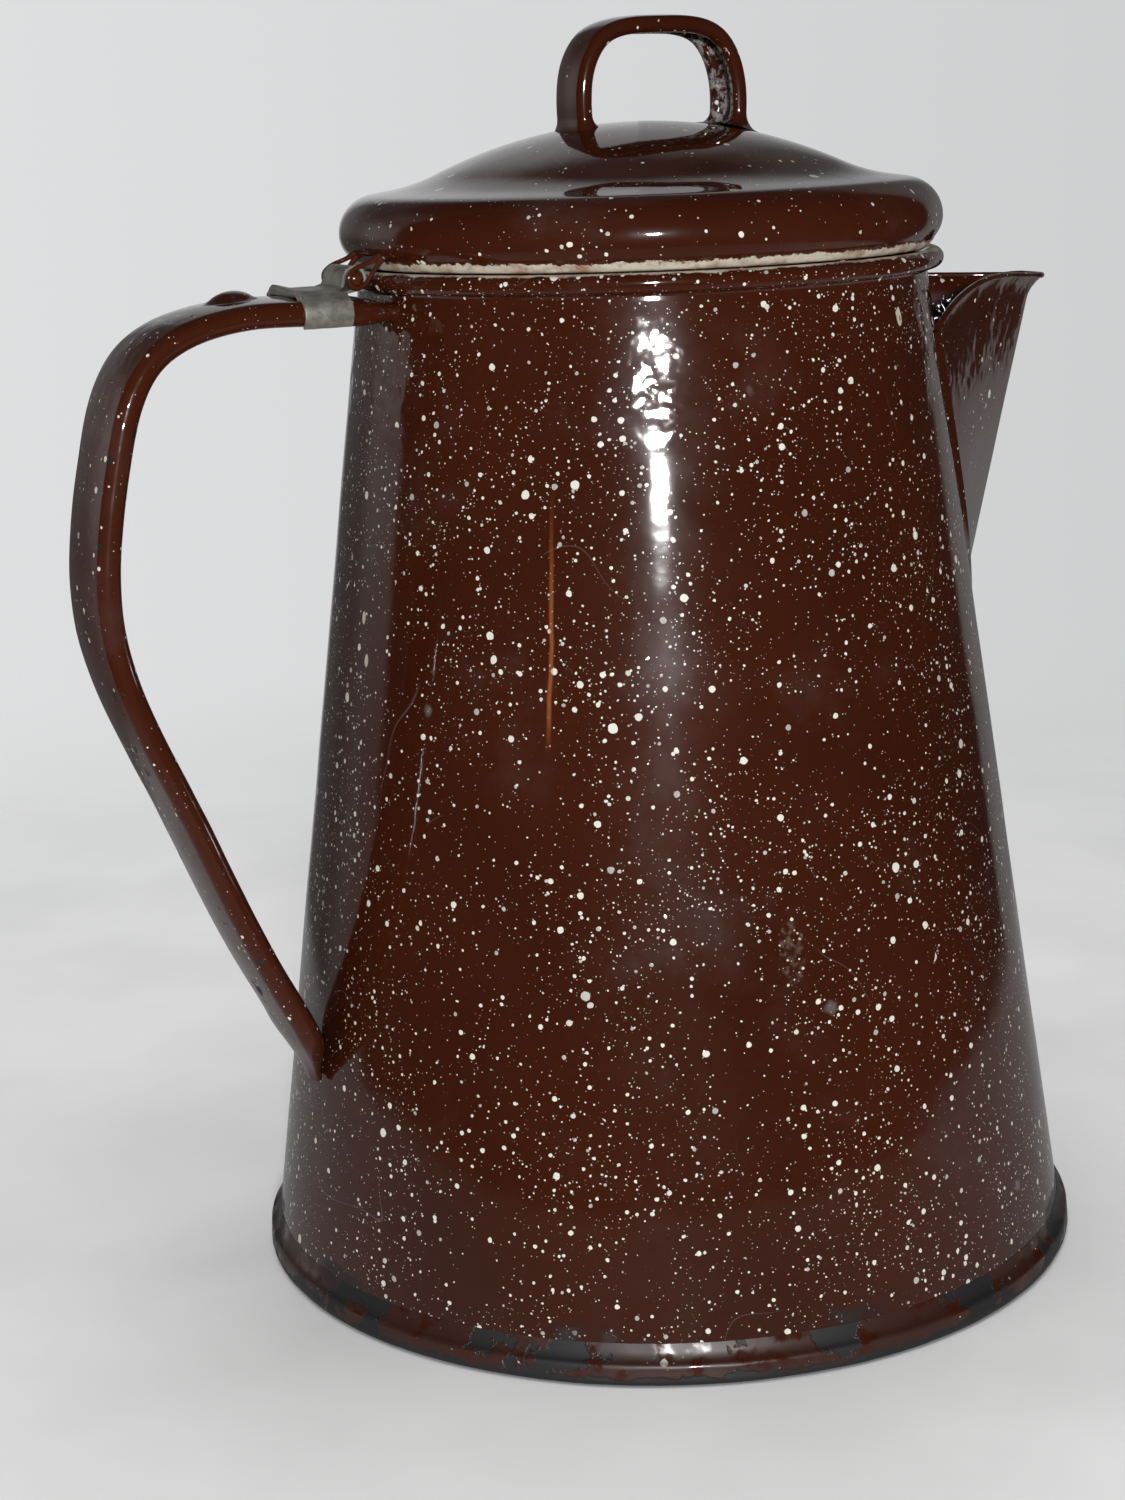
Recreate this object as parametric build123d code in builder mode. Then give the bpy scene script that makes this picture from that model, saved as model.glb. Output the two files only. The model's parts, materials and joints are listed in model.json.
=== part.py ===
from build123d import *
import os
from math import asin, atan2, cos, degrees, hypot, radians, sin, sqrt, tan

# Enamelled steel camp percolator, twelve-cup size, in millimetres.
# +Z is up, the spout points along +X and the handle along -X.
# The origin is the centre of the flat underside.

# ---- driving dimensions -------------------------------------------------

RIM_HEIGHT = 206.0
WALL_RADIUS_AT_BASE = 84.6
WALL_RADIUS_AT_RIM = 56.3
SHEET = 0.9

# rolled rim of the pot
BEAD_RADIUS = 1.9
BEAD_CENTRE_RADIUS = 58.4
BEAD_CENTRE_HEIGHT = 203.1

# base pan and the seam that holds it to the wall
SEAM_RADIUS = 85.9
SEAM_HEIGHT = 6.0
PAN_THICKNESS = 1.0
PAN_GROOVE_RADIUS = 76.0
PAN_GROOVE_WIDTH = 5.0
PAN_GROOVE_DEPTH = 0.6

# spout
SPOUT_FOOT_HEIGHT = 107.0
SPOUT_ROOT_HEIGHT = 103.0
NOSE_AT_FOOT = 8.0
NOSE_AT_TIP = 7.0
WALL_OVERRUN = 2.5
SPOUT_NOTCH_HEIGHT = 189.0
SPOUT_NOTCH_HALF_WIDTH = 35.7
KEEL_SLOPE = 0.2746
LIP_START_HEIGHT = 190.0
LIP_FLARE = 2.4
SPOUT_TIP_HEIGHT = 195.4
POURING_EDGE = ((40, 183), (47, 189), (57, 194.2), (70, 197.0), (84, 196.4), (104, 194.8))
STRAINER_HOLE = 4.6
STRAINER_PITCH = 8.5
STRAINER_ROWS = 6
STRAINER_START = 132.0

# handle strap, rolled over at both edges
HANDLE_EDGE_SPACING = 17.0
HANDLE_EDGE_RADIUS = 2.4
HANDLE_CROWN = 0.5
HANDLE_GRIP_HEIGHT = 198.3
TONGUE_FOOT = 43.0
TONGUE_TOP = 57.0
TONGUE_WIDTH = 18.0
TONGUE_THICKNESS = 1.8
THUMB_BUMP_REACH = 87.0
THUMB_BUMP_RADIUS = 4.35
THUMB_BUMP_RISE = 1.6

# lid
LID_CROWN = 231.2
CROWN_BEND = 96.0
CROWN_ANGLE = 25.0
FLARE_BEND = 36.0
BRIM_ANGLE = 9.0
BRIM_LENGTH = 3.7
SHOULDER_BEND = 7.6
TUCK_BEND = 5.8
TUCK_ANGLE = 35.0
LIP_DROP = 2.7
LIP_BEND = 1.1
SHELF_WIDTH = 0.9
SKIRT_BEND = 1.3
SKIRT_DEPTH = 6.5
LOOP_OFFSET = 3.5
LOOP_TOP = 249.6
LOOP_EDGE_SPACING = 8.4
LOOP_EDGE_RADIUS = 1.65

# lid hinge: a tin clip on the handle, and a wire staple on the lid
HINGE_X = -63.9
HINGE_Z = 204.2
WIRE_RADIUS = 1.1
WIRE_BEND = 1.15
WIRE_LEG_SPACING = 13.0
WIRE_LEG_RUN = 7.0
WIRE_LEG_RISE = 5.2
BARREL_RADIUS = 2.4
BARREL_LENGTH = 10.6
RUNNING_CLEARANCE = 0.07
CLIP_SHEET = 0.55
CLIP_FRONT = -66.7
CLIP_BACK = -76.5
LEAF_GAP = 0.2

# pump stem, basket and spreader
TUBE_RADIUS = 4.75
TUBE_WALL = 0.8
TUBE_TOP = 196.0
BELL_RADIUS = 38.0
BELL_RIM_HEIGHT = 1.2
BELL_EDGE = 2.4
BELL_ANGLE = 68.0
BELL_FLARE = 8.0
BELL_COLLAR = 4.0
PORT_COUNT = 6
PORT_WIDTH = 6.5
PORT_HEIGHT = 1.6
BASKET_FLOOR_HEIGHT = 104.0
BASKET_HEIGHT = 52.0
BASKET_RADIUS = 44.0
BASKET_SHEET = 0.8
DRIP_RING_COUNT = 4
SEEP_HOLE = 2.0
SEEP_RING_RADIUS = 13.0
SEEP_RING_STEP = 8.0
SPREAD_HOLE = 2.2
SPREAD_RING_RADIUS = 12.0
SPREAD_RING_STEP = 9.0
SPREADER_LIP_DROP = 5.0
SPREADER_LIP_RISE = 3.0
SPREADER_COLLAR = 6.0
STOP_HEIGHT = 5.0
STOP_RADIUS = 7.5
STOP_CHAMFER = 1.5
REST_GAP = 0.05

os.makedirs("parts", exist_ok=True)


# ---- shared shapes --------------------------------------------------------

def wall_radius(height):
    """Outer radius of the tapered wall at a height."""
    taper = (WALL_RADIUS_AT_BASE - WALL_RADIUS_AT_RIM) / RIM_HEIGHT
    return WALL_RADIUS_AT_BASE - taper * height


def save(piece, name):
    piece.part.label = name
    export_step(piece.part, f"parts/{name}.step")


# everything inside the outer face of the wall, used to fit pieces to it
with BuildPart() as pot_envelope:
    with BuildSketch(Plane.XZ):
        Polygon(
            (0, -1),
            (wall_radius(-1), -1),
            (wall_radius(RIM_HEIGHT + 6), RIM_HEIGHT + 6),
            (0, RIM_HEIGHT + 6),
            align=None,
        )
    revolve(axis=Axis.Z)


# ---- pot wall -------------------------------------------------------------

# strainer holes, staggered rows inside the foot of the spout
strainer_rows = []
for row in range(STRAINER_ROWS):
    height = STRAINER_START + row * STRAINER_PITCH
    holes_in_row = 3 + row % 2
    for place in range(holes_in_row):
        side = (place - (holes_in_row - 1) / 2) * STRAINER_PITCH
        strainer_rows.append((side, height))

with BuildPart() as pot_wall:
    with BuildSketch(Plane.XZ) as wall_profile:
        with BuildLine():
            inner_foot = (wall_radius(PAN_THICKNESS) - SHEET, PAN_THICKNESS)
            inner_top = (wall_radius(BEAD_CENTRE_HEIGHT) - SHEET, BEAD_CENTRE_HEIGHT)
            bead_top = (BEAD_CENTRE_RADIUS, BEAD_CENTRE_HEIGHT + BEAD_RADIUS)
            bead_side = (BEAD_CENTRE_RADIUS + BEAD_RADIUS, BEAD_CENTRE_HEIGHT)
            bead_bottom = (BEAD_CENTRE_RADIUS, BEAD_CENTRE_HEIGHT - BEAD_RADIUS)
            bead_root_height = BEAD_CENTRE_HEIGHT - BEAD_RADIUS
            bead_root = (wall_radius(bead_root_height), bead_root_height)
            Line(inner_foot, inner_top)
            ThreePointArc(inner_top, (inner_top[0] + 0.75, bead_top[1] - 0.45), bead_top)
            ThreePointArc(bead_top, bead_side, bead_bottom)
            Polyline(
                bead_bottom,
                bead_root,
                (wall_radius(PAN_THICKNESS), PAN_THICKNESS),
                inner_foot,
            )
        make_face()
    revolve(axis=Axis.Z)
    with BuildSketch(Plane.YZ):
        with Locations(*strainer_rows):
            Circle(STRAINER_HOLE / 2)
    extrude(amount=WALL_RADIUS_AT_BASE, mode=Mode.SUBTRACT)
save(pot_wall, "pot_wall")


# ---- base pan with its folded seam ---------------------------------------

with BuildPart() as base_pan:
    with BuildSketch(Plane.XZ):
        Polygon(
            (0, 0),
            (SEAM_RADIUS - 0.5, 0),
            (SEAM_RADIUS, 0.5),
            (SEAM_RADIUS, SEAM_HEIGHT - 0.8),
            (wall_radius(SEAM_HEIGHT) + 0.6, SEAM_HEIGHT),
            (wall_radius(SEAM_HEIGHT), SEAM_HEIGHT),
            (wall_radius(PAN_THICKNESS), PAN_THICKNESS),
            (0, PAN_THICKNESS),
            align=None,
        )
    revolve(axis=Axis.Z)
    # pressed ring that keeps the sheet from oil-canning over a flame
    with BuildSketch(Plane.XY):
        Circle(PAN_GROOVE_RADIUS + PAN_GROOVE_WIDTH / 2)
        Circle(PAN_GROOVE_RADIUS - PAN_GROOVE_WIDTH / 2, mode=Mode.SUBTRACT)
    extrude(amount=PAN_GROOVE_DEPTH, mode=Mode.SUBTRACT)
save(base_pan, "base_pan")


# ---- spout ----------------------------------------------------------------

def keel_reach(height):
    """How far the front edge of the spout stands from the pot axis."""
    foot_reach = wall_radius(SPOUT_FOOT_HEIGHT)
    reach = foot_reach + KEEL_SLOPE * (height - SPOUT_FOOT_HEIGHT)
    if height > LIP_START_HEIGHT:
        rise = (height - LIP_START_HEIGHT) / (SPOUT_TIP_HEIGHT - LIP_START_HEIGHT)
        reach += LIP_FLARE * rise ** 1.5
    return reach


def contact_half_width(height):
    """Half of the width over which the spout covers the wall at a height."""
    drop = (SPOUT_NOTCH_HEIGHT - height) / (SPOUT_NOTCH_HEIGHT - SPOUT_ROOT_HEIGHT)
    return SPOUT_NOTCH_HALF_WIDTH * (1 - drop * drop) ** 0.75


def nose_radius(height):
    """The V is blunt near the foot and tight at the lip."""
    share = (height - SPOUT_FOOT_HEIGHT) / (SPOUT_TIP_HEIGHT - SPOUT_FOOT_HEIGHT)
    return NOSE_AT_FOOT + (NOSE_AT_TIP - NOSE_AT_FOOT) * share


def spout_outline(height, inset):
    """The three corners of the spout's V at a height.

    Each side runs from inside the wall, through the place where it meets the
    wall, to the line that touches the round nose. The lowest outline is hidden
    inside the wall, so that the spout grows out of it without a step.
    """
    if height < SPOUT_FOOT_HEIGHT:
        apex = keel_reach(height)
        return [(apex - 2.5, 7.0), (apex, 0), (apex - 2.5, -7.0)]
    half_width = contact_half_width(height)
    touch = sqrt(wall_radius(height) ** 2 - half_width ** 2)
    run = keel_reach(height) - nose_radius(height) - touch
    slope = atan2(half_width, run) - asin(nose_radius(height) / hypot(run, half_width))
    apex = touch + half_width / tan(slope) - inset / sin(slope)
    back = apex - touch + WALL_OVERRUN * cos(slope)
    return [(apex - back, back * tan(slope)), (apex, 0), (apex - back, -back * tan(slope))]


SPOUT_LEVELS = (101, 113, 125, 142, 160, 178, 190, 195.4, 200)

spout_shells = []
for inset in (0.0, SHEET):
    with BuildPart() as spout_form:
        for height in SPOUT_LEVELS:
            left, nose, right = spout_outline(height, inset)
            with BuildSketch(Plane.XY.offset(height)):
                with BuildLine():
                    FilletPolyline(left, nose, right, radius=nose_radius(height) - inset)
                    Line(right, left)
                make_face()
        loft()
    spout_shells.append(spout_form.part)

with BuildPart() as spout:
    add(spout_shells[0])
    add(spout_shells[1], mode=Mode.SUBTRACT)
    add(pot_envelope.part, mode=Mode.SUBTRACT)
    # the pouring edge rises from the notch at the wall and runs level to the tip
    with BuildSketch(Plane.XZ):
        with BuildLine():
            Spline(*POURING_EDGE)
            Polyline(POURING_EDGE[-1], (104, 215), (40, 215), POURING_EDGE[0])
        make_face()
    extrude(amount=60, both=True, mode=Mode.SUBTRACT)
save(spout, "spout")


# ---- handle ---------------------------------------------------------------

tongue_side = TONGUE_WIDTH / 2

with BuildPart() as foot_tongue:
    with BuildSketch(Plane.XZ):
        Polygon(
            (-wall_radius(TONGUE_FOOT) + 1, TONGUE_FOOT),
            (-wall_radius(TONGUE_FOOT) - TONGUE_THICKNESS, TONGUE_FOOT),
            (-wall_radius(TONGUE_TOP) - TONGUE_THICKNESS, TONGUE_TOP),
            (-wall_radius(TONGUE_TOP) + 1, TONGUE_TOP),
            align=None,
        )
    revolve(axis=Axis.Z)
    with BuildSketch(Plane.YZ):
        with BuildLine():
            Polyline((-tongue_side, TONGUE_TOP), (-tongue_side, 50.5), (-3, 45.8))
            ThreePointArc((-3, 45.8), (0, 45.0), (3, 45.8))
            Polyline(
                (3, 45.8),
                (tongue_side, 50.5),
                (tongue_side, TONGUE_TOP),
                (-tongue_side, TONGUE_TOP),
            )
        make_face()
    extrude(amount=-100, mode=Mode.INTERSECT)

with BuildPart() as handle:
    with BuildLine(Plane.XZ) as handle_path:
        Spline(
            (-54, 197.6),
            (-72, HANDLE_GRIP_HEIGHT),
            (-89, HANDLE_GRIP_HEIGHT),
            (-105.6, 191.8),
            (-113.7, 173),
            (-116.8, 142),
            (-105.1, 107.7),
            (-89, 69.6),
            (-79.0, 48.6),
        )
    section_plane = Plane(
        origin=handle_path.line @ 0,
        x_dir=(0, -1, 0),
        z_dir=handle_path.line % 0,
    )
    with BuildSketch(section_plane):
        side = HANDLE_EDGE_SPACING / 2
        top = HANDLE_EDGE_RADIUS
        underside = top - SHEET
        with BuildLine():
            ThreePointArc((-side, top), (0, top + HANDLE_CROWN), (side, top))
            Line((side, top), (side, underside))
            ThreePointArc((side, underside), (0, underside + HANDLE_CROWN), (-side, underside))
            Line((-side, underside), (-side, top))
        make_face()
        with Locations((-side, 0), (side, 0)):
            Circle(HANDLE_EDGE_RADIUS)
    sweep(path=handle_path.line)
    # round thumb rest pressed up out of the strap
    dome = (THUMB_BUMP_RADIUS ** 2 + THUMB_BUMP_RISE ** 2) / (2 * THUMB_BUMP_RISE)
    strap_top = HANDLE_GRIP_HEIGHT + HANDLE_EDGE_RADIUS + HANDLE_CROWN
    with Locations((-THUMB_BUMP_REACH, 0, strap_top + THUMB_BUMP_RISE)):
        Sphere(
            dome,
            arc_size1=degrees(asin((dome - THUMB_BUMP_RISE - SHEET / 2) / dome)),
            align=(Align.CENTER, Align.CENTER, Align.MAX),
        )
    add(foot_tongue.part)
    add(pot_envelope.part, mode=Mode.SUBTRACT)
save(handle, "handle")


# ---- hinge clip, a folded tin strip gripping the handle -------------------

LEAF_BOTTOM = strap_top + 0.05
LEAF_TOP = LEAF_BOTTOM + 2 * CLIP_SHEET + LEAF_GAP
LEAF_MIDDLE = (LEAF_BOTTOM + LEAF_TOP) / 2
FOLD_RADIUS = (LEAF_TOP - LEAF_BOTTOM) / 2
BARREL_BACK = HINGE_X - BARREL_RADIUS
GRIP_RADIUS = HANDLE_EDGE_RADIUS + CLIP_SHEET

with BuildPart() as hinge_clip:
    # two leaves on top of the handle, joined by a fold at the back
    with BuildSketch(Plane.XZ.offset(-HANDLE_EDGE_SPACING / 2)):
        with Locations((CLIP_BACK + FOLD_RADIUS, LEAF_MIDDLE)):
            Circle(FOLD_RADIUS)
            Rectangle(
                CLIP_FRONT - CLIP_BACK - FOLD_RADIUS,
                LEAF_TOP - LEAF_BOTTOM,
                align=(Align.MIN, Align.CENTER),
            )
            Rectangle(
                CLIP_FRONT - CLIP_BACK - 3 * FOLD_RADIUS,
                LEAF_GAP,
                align=(Align.MIN, Align.CENTER),
                mode=Mode.SUBTRACT,
            )
    extrude(amount=HANDLE_EDGE_SPACING)
    # the narrower front of the strip, rolled into a barrel
    with BuildSketch(Plane.XZ.offset(-BARREL_LENGTH / 2)):
        with Locations((HINGE_X, HINGE_Z)):
            Circle(BARREL_RADIUS)
        with BuildLine():
            swept_up = JernArc(
                (BARREL_BACK, HINGE_Z),
                (0, -1),
                HINGE_Z - LEAF_TOP,
                -90,
            )
            Polyline(
                swept_up @ 1,
                ((swept_up @ 1).X, LEAF_BOTTOM),
                (HINGE_X, LEAF_BOTTOM),
                (HINGE_X, HINGE_Z),
                (BARREL_BACK, HINGE_Z),
            )
        make_face()
        with Locations((HINGE_X, HINGE_Z)):
            Circle(WIRE_RADIUS + RUNNING_CLEARANCE, mode=Mode.SUBTRACT)
    extrude(amount=BARREL_LENGTH)
    # side tabs wrapped round the rolled edges of the strap
    with BuildSketch(Plane.YZ.offset(CLIP_BACK)):
        for side in (-1, 1):
            with Locations((side * HANDLE_EDGE_SPACING / 2, HANDLE_GRIP_HEIGHT)):
                Circle(GRIP_RADIUS)
        Rectangle(
            HANDLE_EDGE_SPACING,
            HANDLE_GRIP_HEIGHT + HANDLE_EDGE_RADIUS,
            align=(Align.CENTER, Align.MIN),
            mode=Mode.SUBTRACT,
        )
        with Locations((0, HANDLE_GRIP_HEIGHT + HANDLE_EDGE_RADIUS)):
            Rectangle(
                HANDLE_EDGE_SPACING,
                LEAF_MIDDLE - HANDLE_GRIP_HEIGHT - HANDLE_EDGE_RADIUS - LEAF_GAP,
                align=(Align.CENTER, Align.MIN),
            )
    extrude(amount=CLIP_FRONT - CLIP_BACK)
    add(handle.part, mode=Mode.SUBTRACT)
save(hinge_clip, "hinge_clip")


# ---- lid ------------------------------------------------------------------

def lid_face(inset):
    """Half of the lid's face from the crown down to the foot of the skirt.

    The outer face has an inset of zero; the inner one is a sheet thickness in.
    Bends that close over the pot lose the inset and bends that open gain it.
    """
    crown = JernArc((0, LID_CROWN - inset), (1, 0), CROWN_BEND - inset, -CROWN_ANGLE)
    flare = JernArc(crown @ 1, crown % 1, FLARE_BEND + inset, CROWN_ANGLE - BRIM_ANGLE)
    brim = Line(flare @ 1, flare @ 1 + (flare % 1) * BRIM_LENGTH)
    shoulder = JernArc(brim @ 1, brim % 1, SHOULDER_BEND - inset, BRIM_ANGLE - 90)
    tuck = JernArc(shoulder @ 1, shoulder % 1, TUCK_BEND - inset, -TUCK_ANGLE)
    drop = Line(tuck @ 1, tuck @ 1 + (tuck % 1) * LIP_DROP)
    lip = JernArc(drop @ 1, drop % 1, LIP_BEND - inset, TUCK_ANGLE - 90)
    shelf = Line(lip @ 1, lip @ 1 + (lip % 1) * SHELF_WIDTH)
    turn = JernArc(shelf @ 1, shelf % 1, SKIRT_BEND + inset, 90)
    skirt = Line(turn @ 1, turn @ 1 + (turn % 1) * SKIRT_DEPTH)
    return skirt @ 1


with BuildPart() as lid_shell:
    with BuildSketch(Plane.XZ):
        with BuildLine():
            outer_foot = lid_face(0.0)
            inner_foot = lid_face(SHEET)
            Line(outer_foot, inner_foot)
            Line((0, LID_CROWN), (0, LID_CROWN - SHEET))
        make_face()
    revolve(axis=Axis.Z)
save(lid_shell, "lid_shell")

# the solid under the lid's outer face, used to fit the loop and the wire to it
with BuildPart() as lid_envelope:
    with BuildSketch(Plane.XZ):
        with BuildLine():
            outer_foot = lid_face(0.0)
            Polyline(outer_foot, (0, outer_foot.Y), (0, LID_CROWN))
        make_face()
    revolve(axis=Axis.Z)


with BuildPart() as lid_loop:
    with BuildLine(Plane.XZ) as loop_path:
        Spline(
            (LOOP_OFFSET - 17.0, 226),
            (LOOP_OFFSET - 16.8, 240),
            (LOOP_OFFSET - 13.3, 246.8),
            (LOOP_OFFSET, LOOP_TOP),
            (LOOP_OFFSET + 13.3, 246.8),
            (LOOP_OFFSET + 16.8, 240),
            (LOOP_OFFSET + 17.0, 226),
        )
    loop_plane = Plane(
        origin=loop_path.line @ 0,
        x_dir=(0, -1, 0),
        z_dir=loop_path.line % 0,
    )
    with BuildSketch(loop_plane):
        side = LOOP_EDGE_SPACING / 2
        with Locations((-side, 0), (side, 0)):
            Circle(LOOP_EDGE_RADIUS)
        with Locations((0, LOOP_EDGE_RADIUS - SHEET / 2)):
            Rectangle(LOOP_EDGE_SPACING, SHEET)
    sweep(path=loop_path.line)
    add(lid_envelope.part, mode=Mode.SUBTRACT)
save(lid_loop, "lid_loop")


# wire staple: its bar turns in the barrel and its legs are fused to the lid
staple_plane = Plane(
    origin=(HINGE_X, 0, HINGE_Z),
    x_dir=(0, 1, 0),
    z_dir=(WIRE_LEG_RISE, 0, -WIRE_LEG_RUN),
)

with BuildPart() as hinge_wire:
    leg = WIRE_LEG_SPACING / 2
    leg_reach = hypot(WIRE_LEG_RUN, WIRE_LEG_RISE)
    with BuildLine(staple_plane) as wire_path:
        FilletPolyline(
            (leg, leg_reach),
            (leg, 0),
            (-leg, 0),
            (-leg, leg_reach),
            radius=WIRE_BEND,
        )
    with BuildSketch(Plane(origin=wire_path.line @ 0, z_dir=wire_path.line % 0)):
        Circle(WIRE_RADIUS)
    sweep(path=wire_path.line)
    add(lid_envelope.part, mode=Mode.SUBTRACT)
save(hinge_wire, "hinge_wire")


# ---- pump stem ------------------------------------------------------------

STEM_FOOT = PAN_THICKNESS + REST_GAP
TUBE_FOOT = STEM_FOOT + 6.0

with BuildPart() as pump_tube:
    with BuildSketch(Plane.XY.offset(TUBE_FOOT)):
        Circle(TUBE_RADIUS)
        Circle(TUBE_RADIUS - TUBE_WALL, mode=Mode.SUBTRACT)
    extrude(amount=TUBE_TOP - TUBE_FOOT)
save(pump_tube, "pump_tube")


def bell_face(inset):
    """Half of the bell's face, from its rim on the floor in and up to the tube."""
    rim_foot = (BELL_RADIUS - inset, STEM_FOOT)
    rim = Line(rim_foot, (BELL_RADIUS - inset, STEM_FOOT + BELL_RIM_HEIGHT))
    edge = JernArc(rim @ 1, (0, 1), BELL_EDGE - inset, BELL_ANGLE)
    cone = Line(edge @ 1, edge @ 1 + (edge % 1) * BELL_CONE_LENGTH)
    flare = JernArc(cone @ 1, cone % 1, BELL_FLARE + inset, -BELL_ANGLE)
    collar = Line(flare @ 1, flare @ 1 + (flare % 1) * BELL_COLLAR)
    return collar @ 1


bend_run = (BELL_EDGE + BELL_FLARE) * (1 - cos(radians(BELL_ANGLE)))
BELL_CONE_LENGTH = (BELL_RADIUS - TUBE_RADIUS - BASKET_SHEET - bend_run) / sin(radians(BELL_ANGLE))

with BuildPart() as pump_bell:
    with BuildSketch(Plane.XZ):
        with BuildLine():
            outer_collar = bell_face(0.0)
            inner_collar = bell_face(BASKET_SHEET)
            Line(outer_collar, inner_collar)
            Line((BELL_RADIUS, STEM_FOOT), (BELL_RADIUS - BASKET_SHEET, STEM_FOOT))
        make_face()
    revolve(axis=Axis.Z)
    # water ports round the rim of the bell
    with BuildSketch(Plane.XY.offset(STEM_FOOT)):
        with PolarLocations(BELL_RADIUS, PORT_COUNT):
            Rectangle(PORT_WIDTH, PORT_WIDTH)
    extrude(amount=PORT_HEIGHT, mode=Mode.SUBTRACT)
save(pump_bell, "pump_bell")

with BuildPart() as basket_stop:
    with BuildSketch(Plane.XY.offset(BASKET_FLOOR_HEIGHT - REST_GAP - STOP_HEIGHT)):
        Circle(STOP_RADIUS)
        Circle(TUBE_RADIUS, mode=Mode.SUBTRACT)
    extrude(amount=STOP_HEIGHT)
    lowest_edges = basket_stop.edges().filter_by(GeomType.CIRCLE).group_by(Axis.Z)[0]
    chamfer(lowest_edges.sort_by(SortBy.RADIUS)[-1], STOP_CHAMFER)
save(basket_stop, "basket_stop")


# ---- basket ---------------------------------------------------------------

SLEEVE_BORE = TUBE_RADIUS + 0.08
SLEEVE_RADIUS = SLEEVE_BORE + BASKET_SHEET
BASKET_TOP = BASKET_FLOOR_HEIGHT + BASKET_HEIGHT

with BuildPart() as basket_cup:
    with BuildSketch(Plane.XZ):
        Polygon(
            (SLEEVE_RADIUS, BASKET_FLOOR_HEIGHT),
            (BASKET_RADIUS - 2.0, BASKET_FLOOR_HEIGHT),
            (BASKET_RADIUS, BASKET_FLOOR_HEIGHT + 2.0),
            (BASKET_RADIUS, BASKET_TOP),
            (BASKET_RADIUS - BASKET_SHEET, BASKET_TOP),
            (BASKET_RADIUS - BASKET_SHEET, BASKET_FLOOR_HEIGHT + 2.3),
            (BASKET_RADIUS - 2.3, BASKET_FLOOR_HEIGHT + BASKET_SHEET),
            (SLEEVE_RADIUS, BASKET_FLOOR_HEIGHT + BASKET_SHEET),
            align=None,
        )
        # rolled lip
        with Locations((BASKET_RADIUS, BASKET_TOP - 0.9)):
            Circle(0.9)
    revolve(axis=Axis.Z)
    with BuildSketch(Plane.XY.offset(BASKET_FLOOR_HEIGHT)):
        for ring in range(DRIP_RING_COUNT):
            with PolarLocations(SEEP_RING_RADIUS + ring * SEEP_RING_STEP, 8 + ring * 6):
                Circle(SEEP_HOLE / 2)
    extrude(amount=BASKET_SHEET, mode=Mode.SUBTRACT)
save(basket_cup, "basket_cup")

with BuildPart() as basket_sleeve:
    with BuildSketch(Plane.XY.offset(BASKET_FLOOR_HEIGHT)):
        Circle(SLEEVE_RADIUS)
        Circle(SLEEVE_BORE, mode=Mode.SUBTRACT)
    extrude(amount=BASKET_HEIGHT - 2.0)
save(basket_sleeve, "basket_sleeve")


# ---- spreader that covers the basket --------------------------------------

SPREADER_FLOOR = BASKET_TOP + REST_GAP
SPREADER_INNER = BASKET_RADIUS + 1.5

with BuildPart() as basket_cover:
    with BuildSketch(Plane.XZ):
        Polygon(
            (SLEEVE_BORE, SPREADER_FLOOR),
            (SPREADER_INNER, SPREADER_FLOOR),
            (SPREADER_INNER, SPREADER_FLOOR - SPREADER_LIP_DROP),
            (SPREADER_INNER + BASKET_SHEET, SPREADER_FLOOR - SPREADER_LIP_DROP),
            (SPREADER_INNER + BASKET_SHEET, SPREADER_FLOOR + SPREADER_LIP_RISE),
            (SPREADER_INNER, SPREADER_FLOOR + SPREADER_LIP_RISE),
            (SPREADER_INNER, SPREADER_FLOOR + BASKET_SHEET),
            (SLEEVE_RADIUS, SPREADER_FLOOR + BASKET_SHEET),
            (SLEEVE_RADIUS, SPREADER_FLOOR + SPREADER_COLLAR),
            (SLEEVE_BORE, SPREADER_FLOOR + SPREADER_COLLAR),
            align=None,
        )
    revolve(axis=Axis.Z)
    with BuildSketch(Plane.XY.offset(SPREADER_FLOOR)):
        for ring in range(DRIP_RING_COUNT):
            with PolarLocations(SPREAD_RING_RADIUS + ring * SPREAD_RING_STEP, 6 + ring * 6):
                Circle(SPREAD_HOLE / 2)
    extrude(amount=BASKET_SHEET, mode=Mode.SUBTRACT)
save(basket_cover, "basket_cover")
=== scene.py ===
import json
from math import asin, atan2, cos, hypot, pi, radians, sin, sqrt

import bmesh
import bpy
import numpy as np
from mathutils import Matrix, Vector, noise


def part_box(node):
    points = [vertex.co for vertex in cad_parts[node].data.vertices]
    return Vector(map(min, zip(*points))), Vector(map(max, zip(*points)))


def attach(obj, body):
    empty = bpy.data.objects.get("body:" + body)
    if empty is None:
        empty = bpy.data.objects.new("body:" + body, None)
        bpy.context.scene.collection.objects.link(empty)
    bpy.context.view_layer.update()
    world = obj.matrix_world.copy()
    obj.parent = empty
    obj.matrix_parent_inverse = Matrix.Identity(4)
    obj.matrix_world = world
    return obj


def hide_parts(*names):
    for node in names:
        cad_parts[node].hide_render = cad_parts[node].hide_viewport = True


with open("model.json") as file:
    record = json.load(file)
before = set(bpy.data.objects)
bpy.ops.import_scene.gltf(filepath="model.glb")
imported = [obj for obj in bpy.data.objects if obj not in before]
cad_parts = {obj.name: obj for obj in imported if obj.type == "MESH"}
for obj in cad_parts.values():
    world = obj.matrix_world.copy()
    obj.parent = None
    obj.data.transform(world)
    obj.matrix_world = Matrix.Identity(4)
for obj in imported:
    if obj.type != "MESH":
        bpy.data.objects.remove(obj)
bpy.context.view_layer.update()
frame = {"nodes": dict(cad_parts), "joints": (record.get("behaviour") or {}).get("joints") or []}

# Looks of an enamelled steel camp percolator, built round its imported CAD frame.
# Shapes are written in millimetres and scaled to metres when a mesh is made.

MM = 0.001


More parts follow.
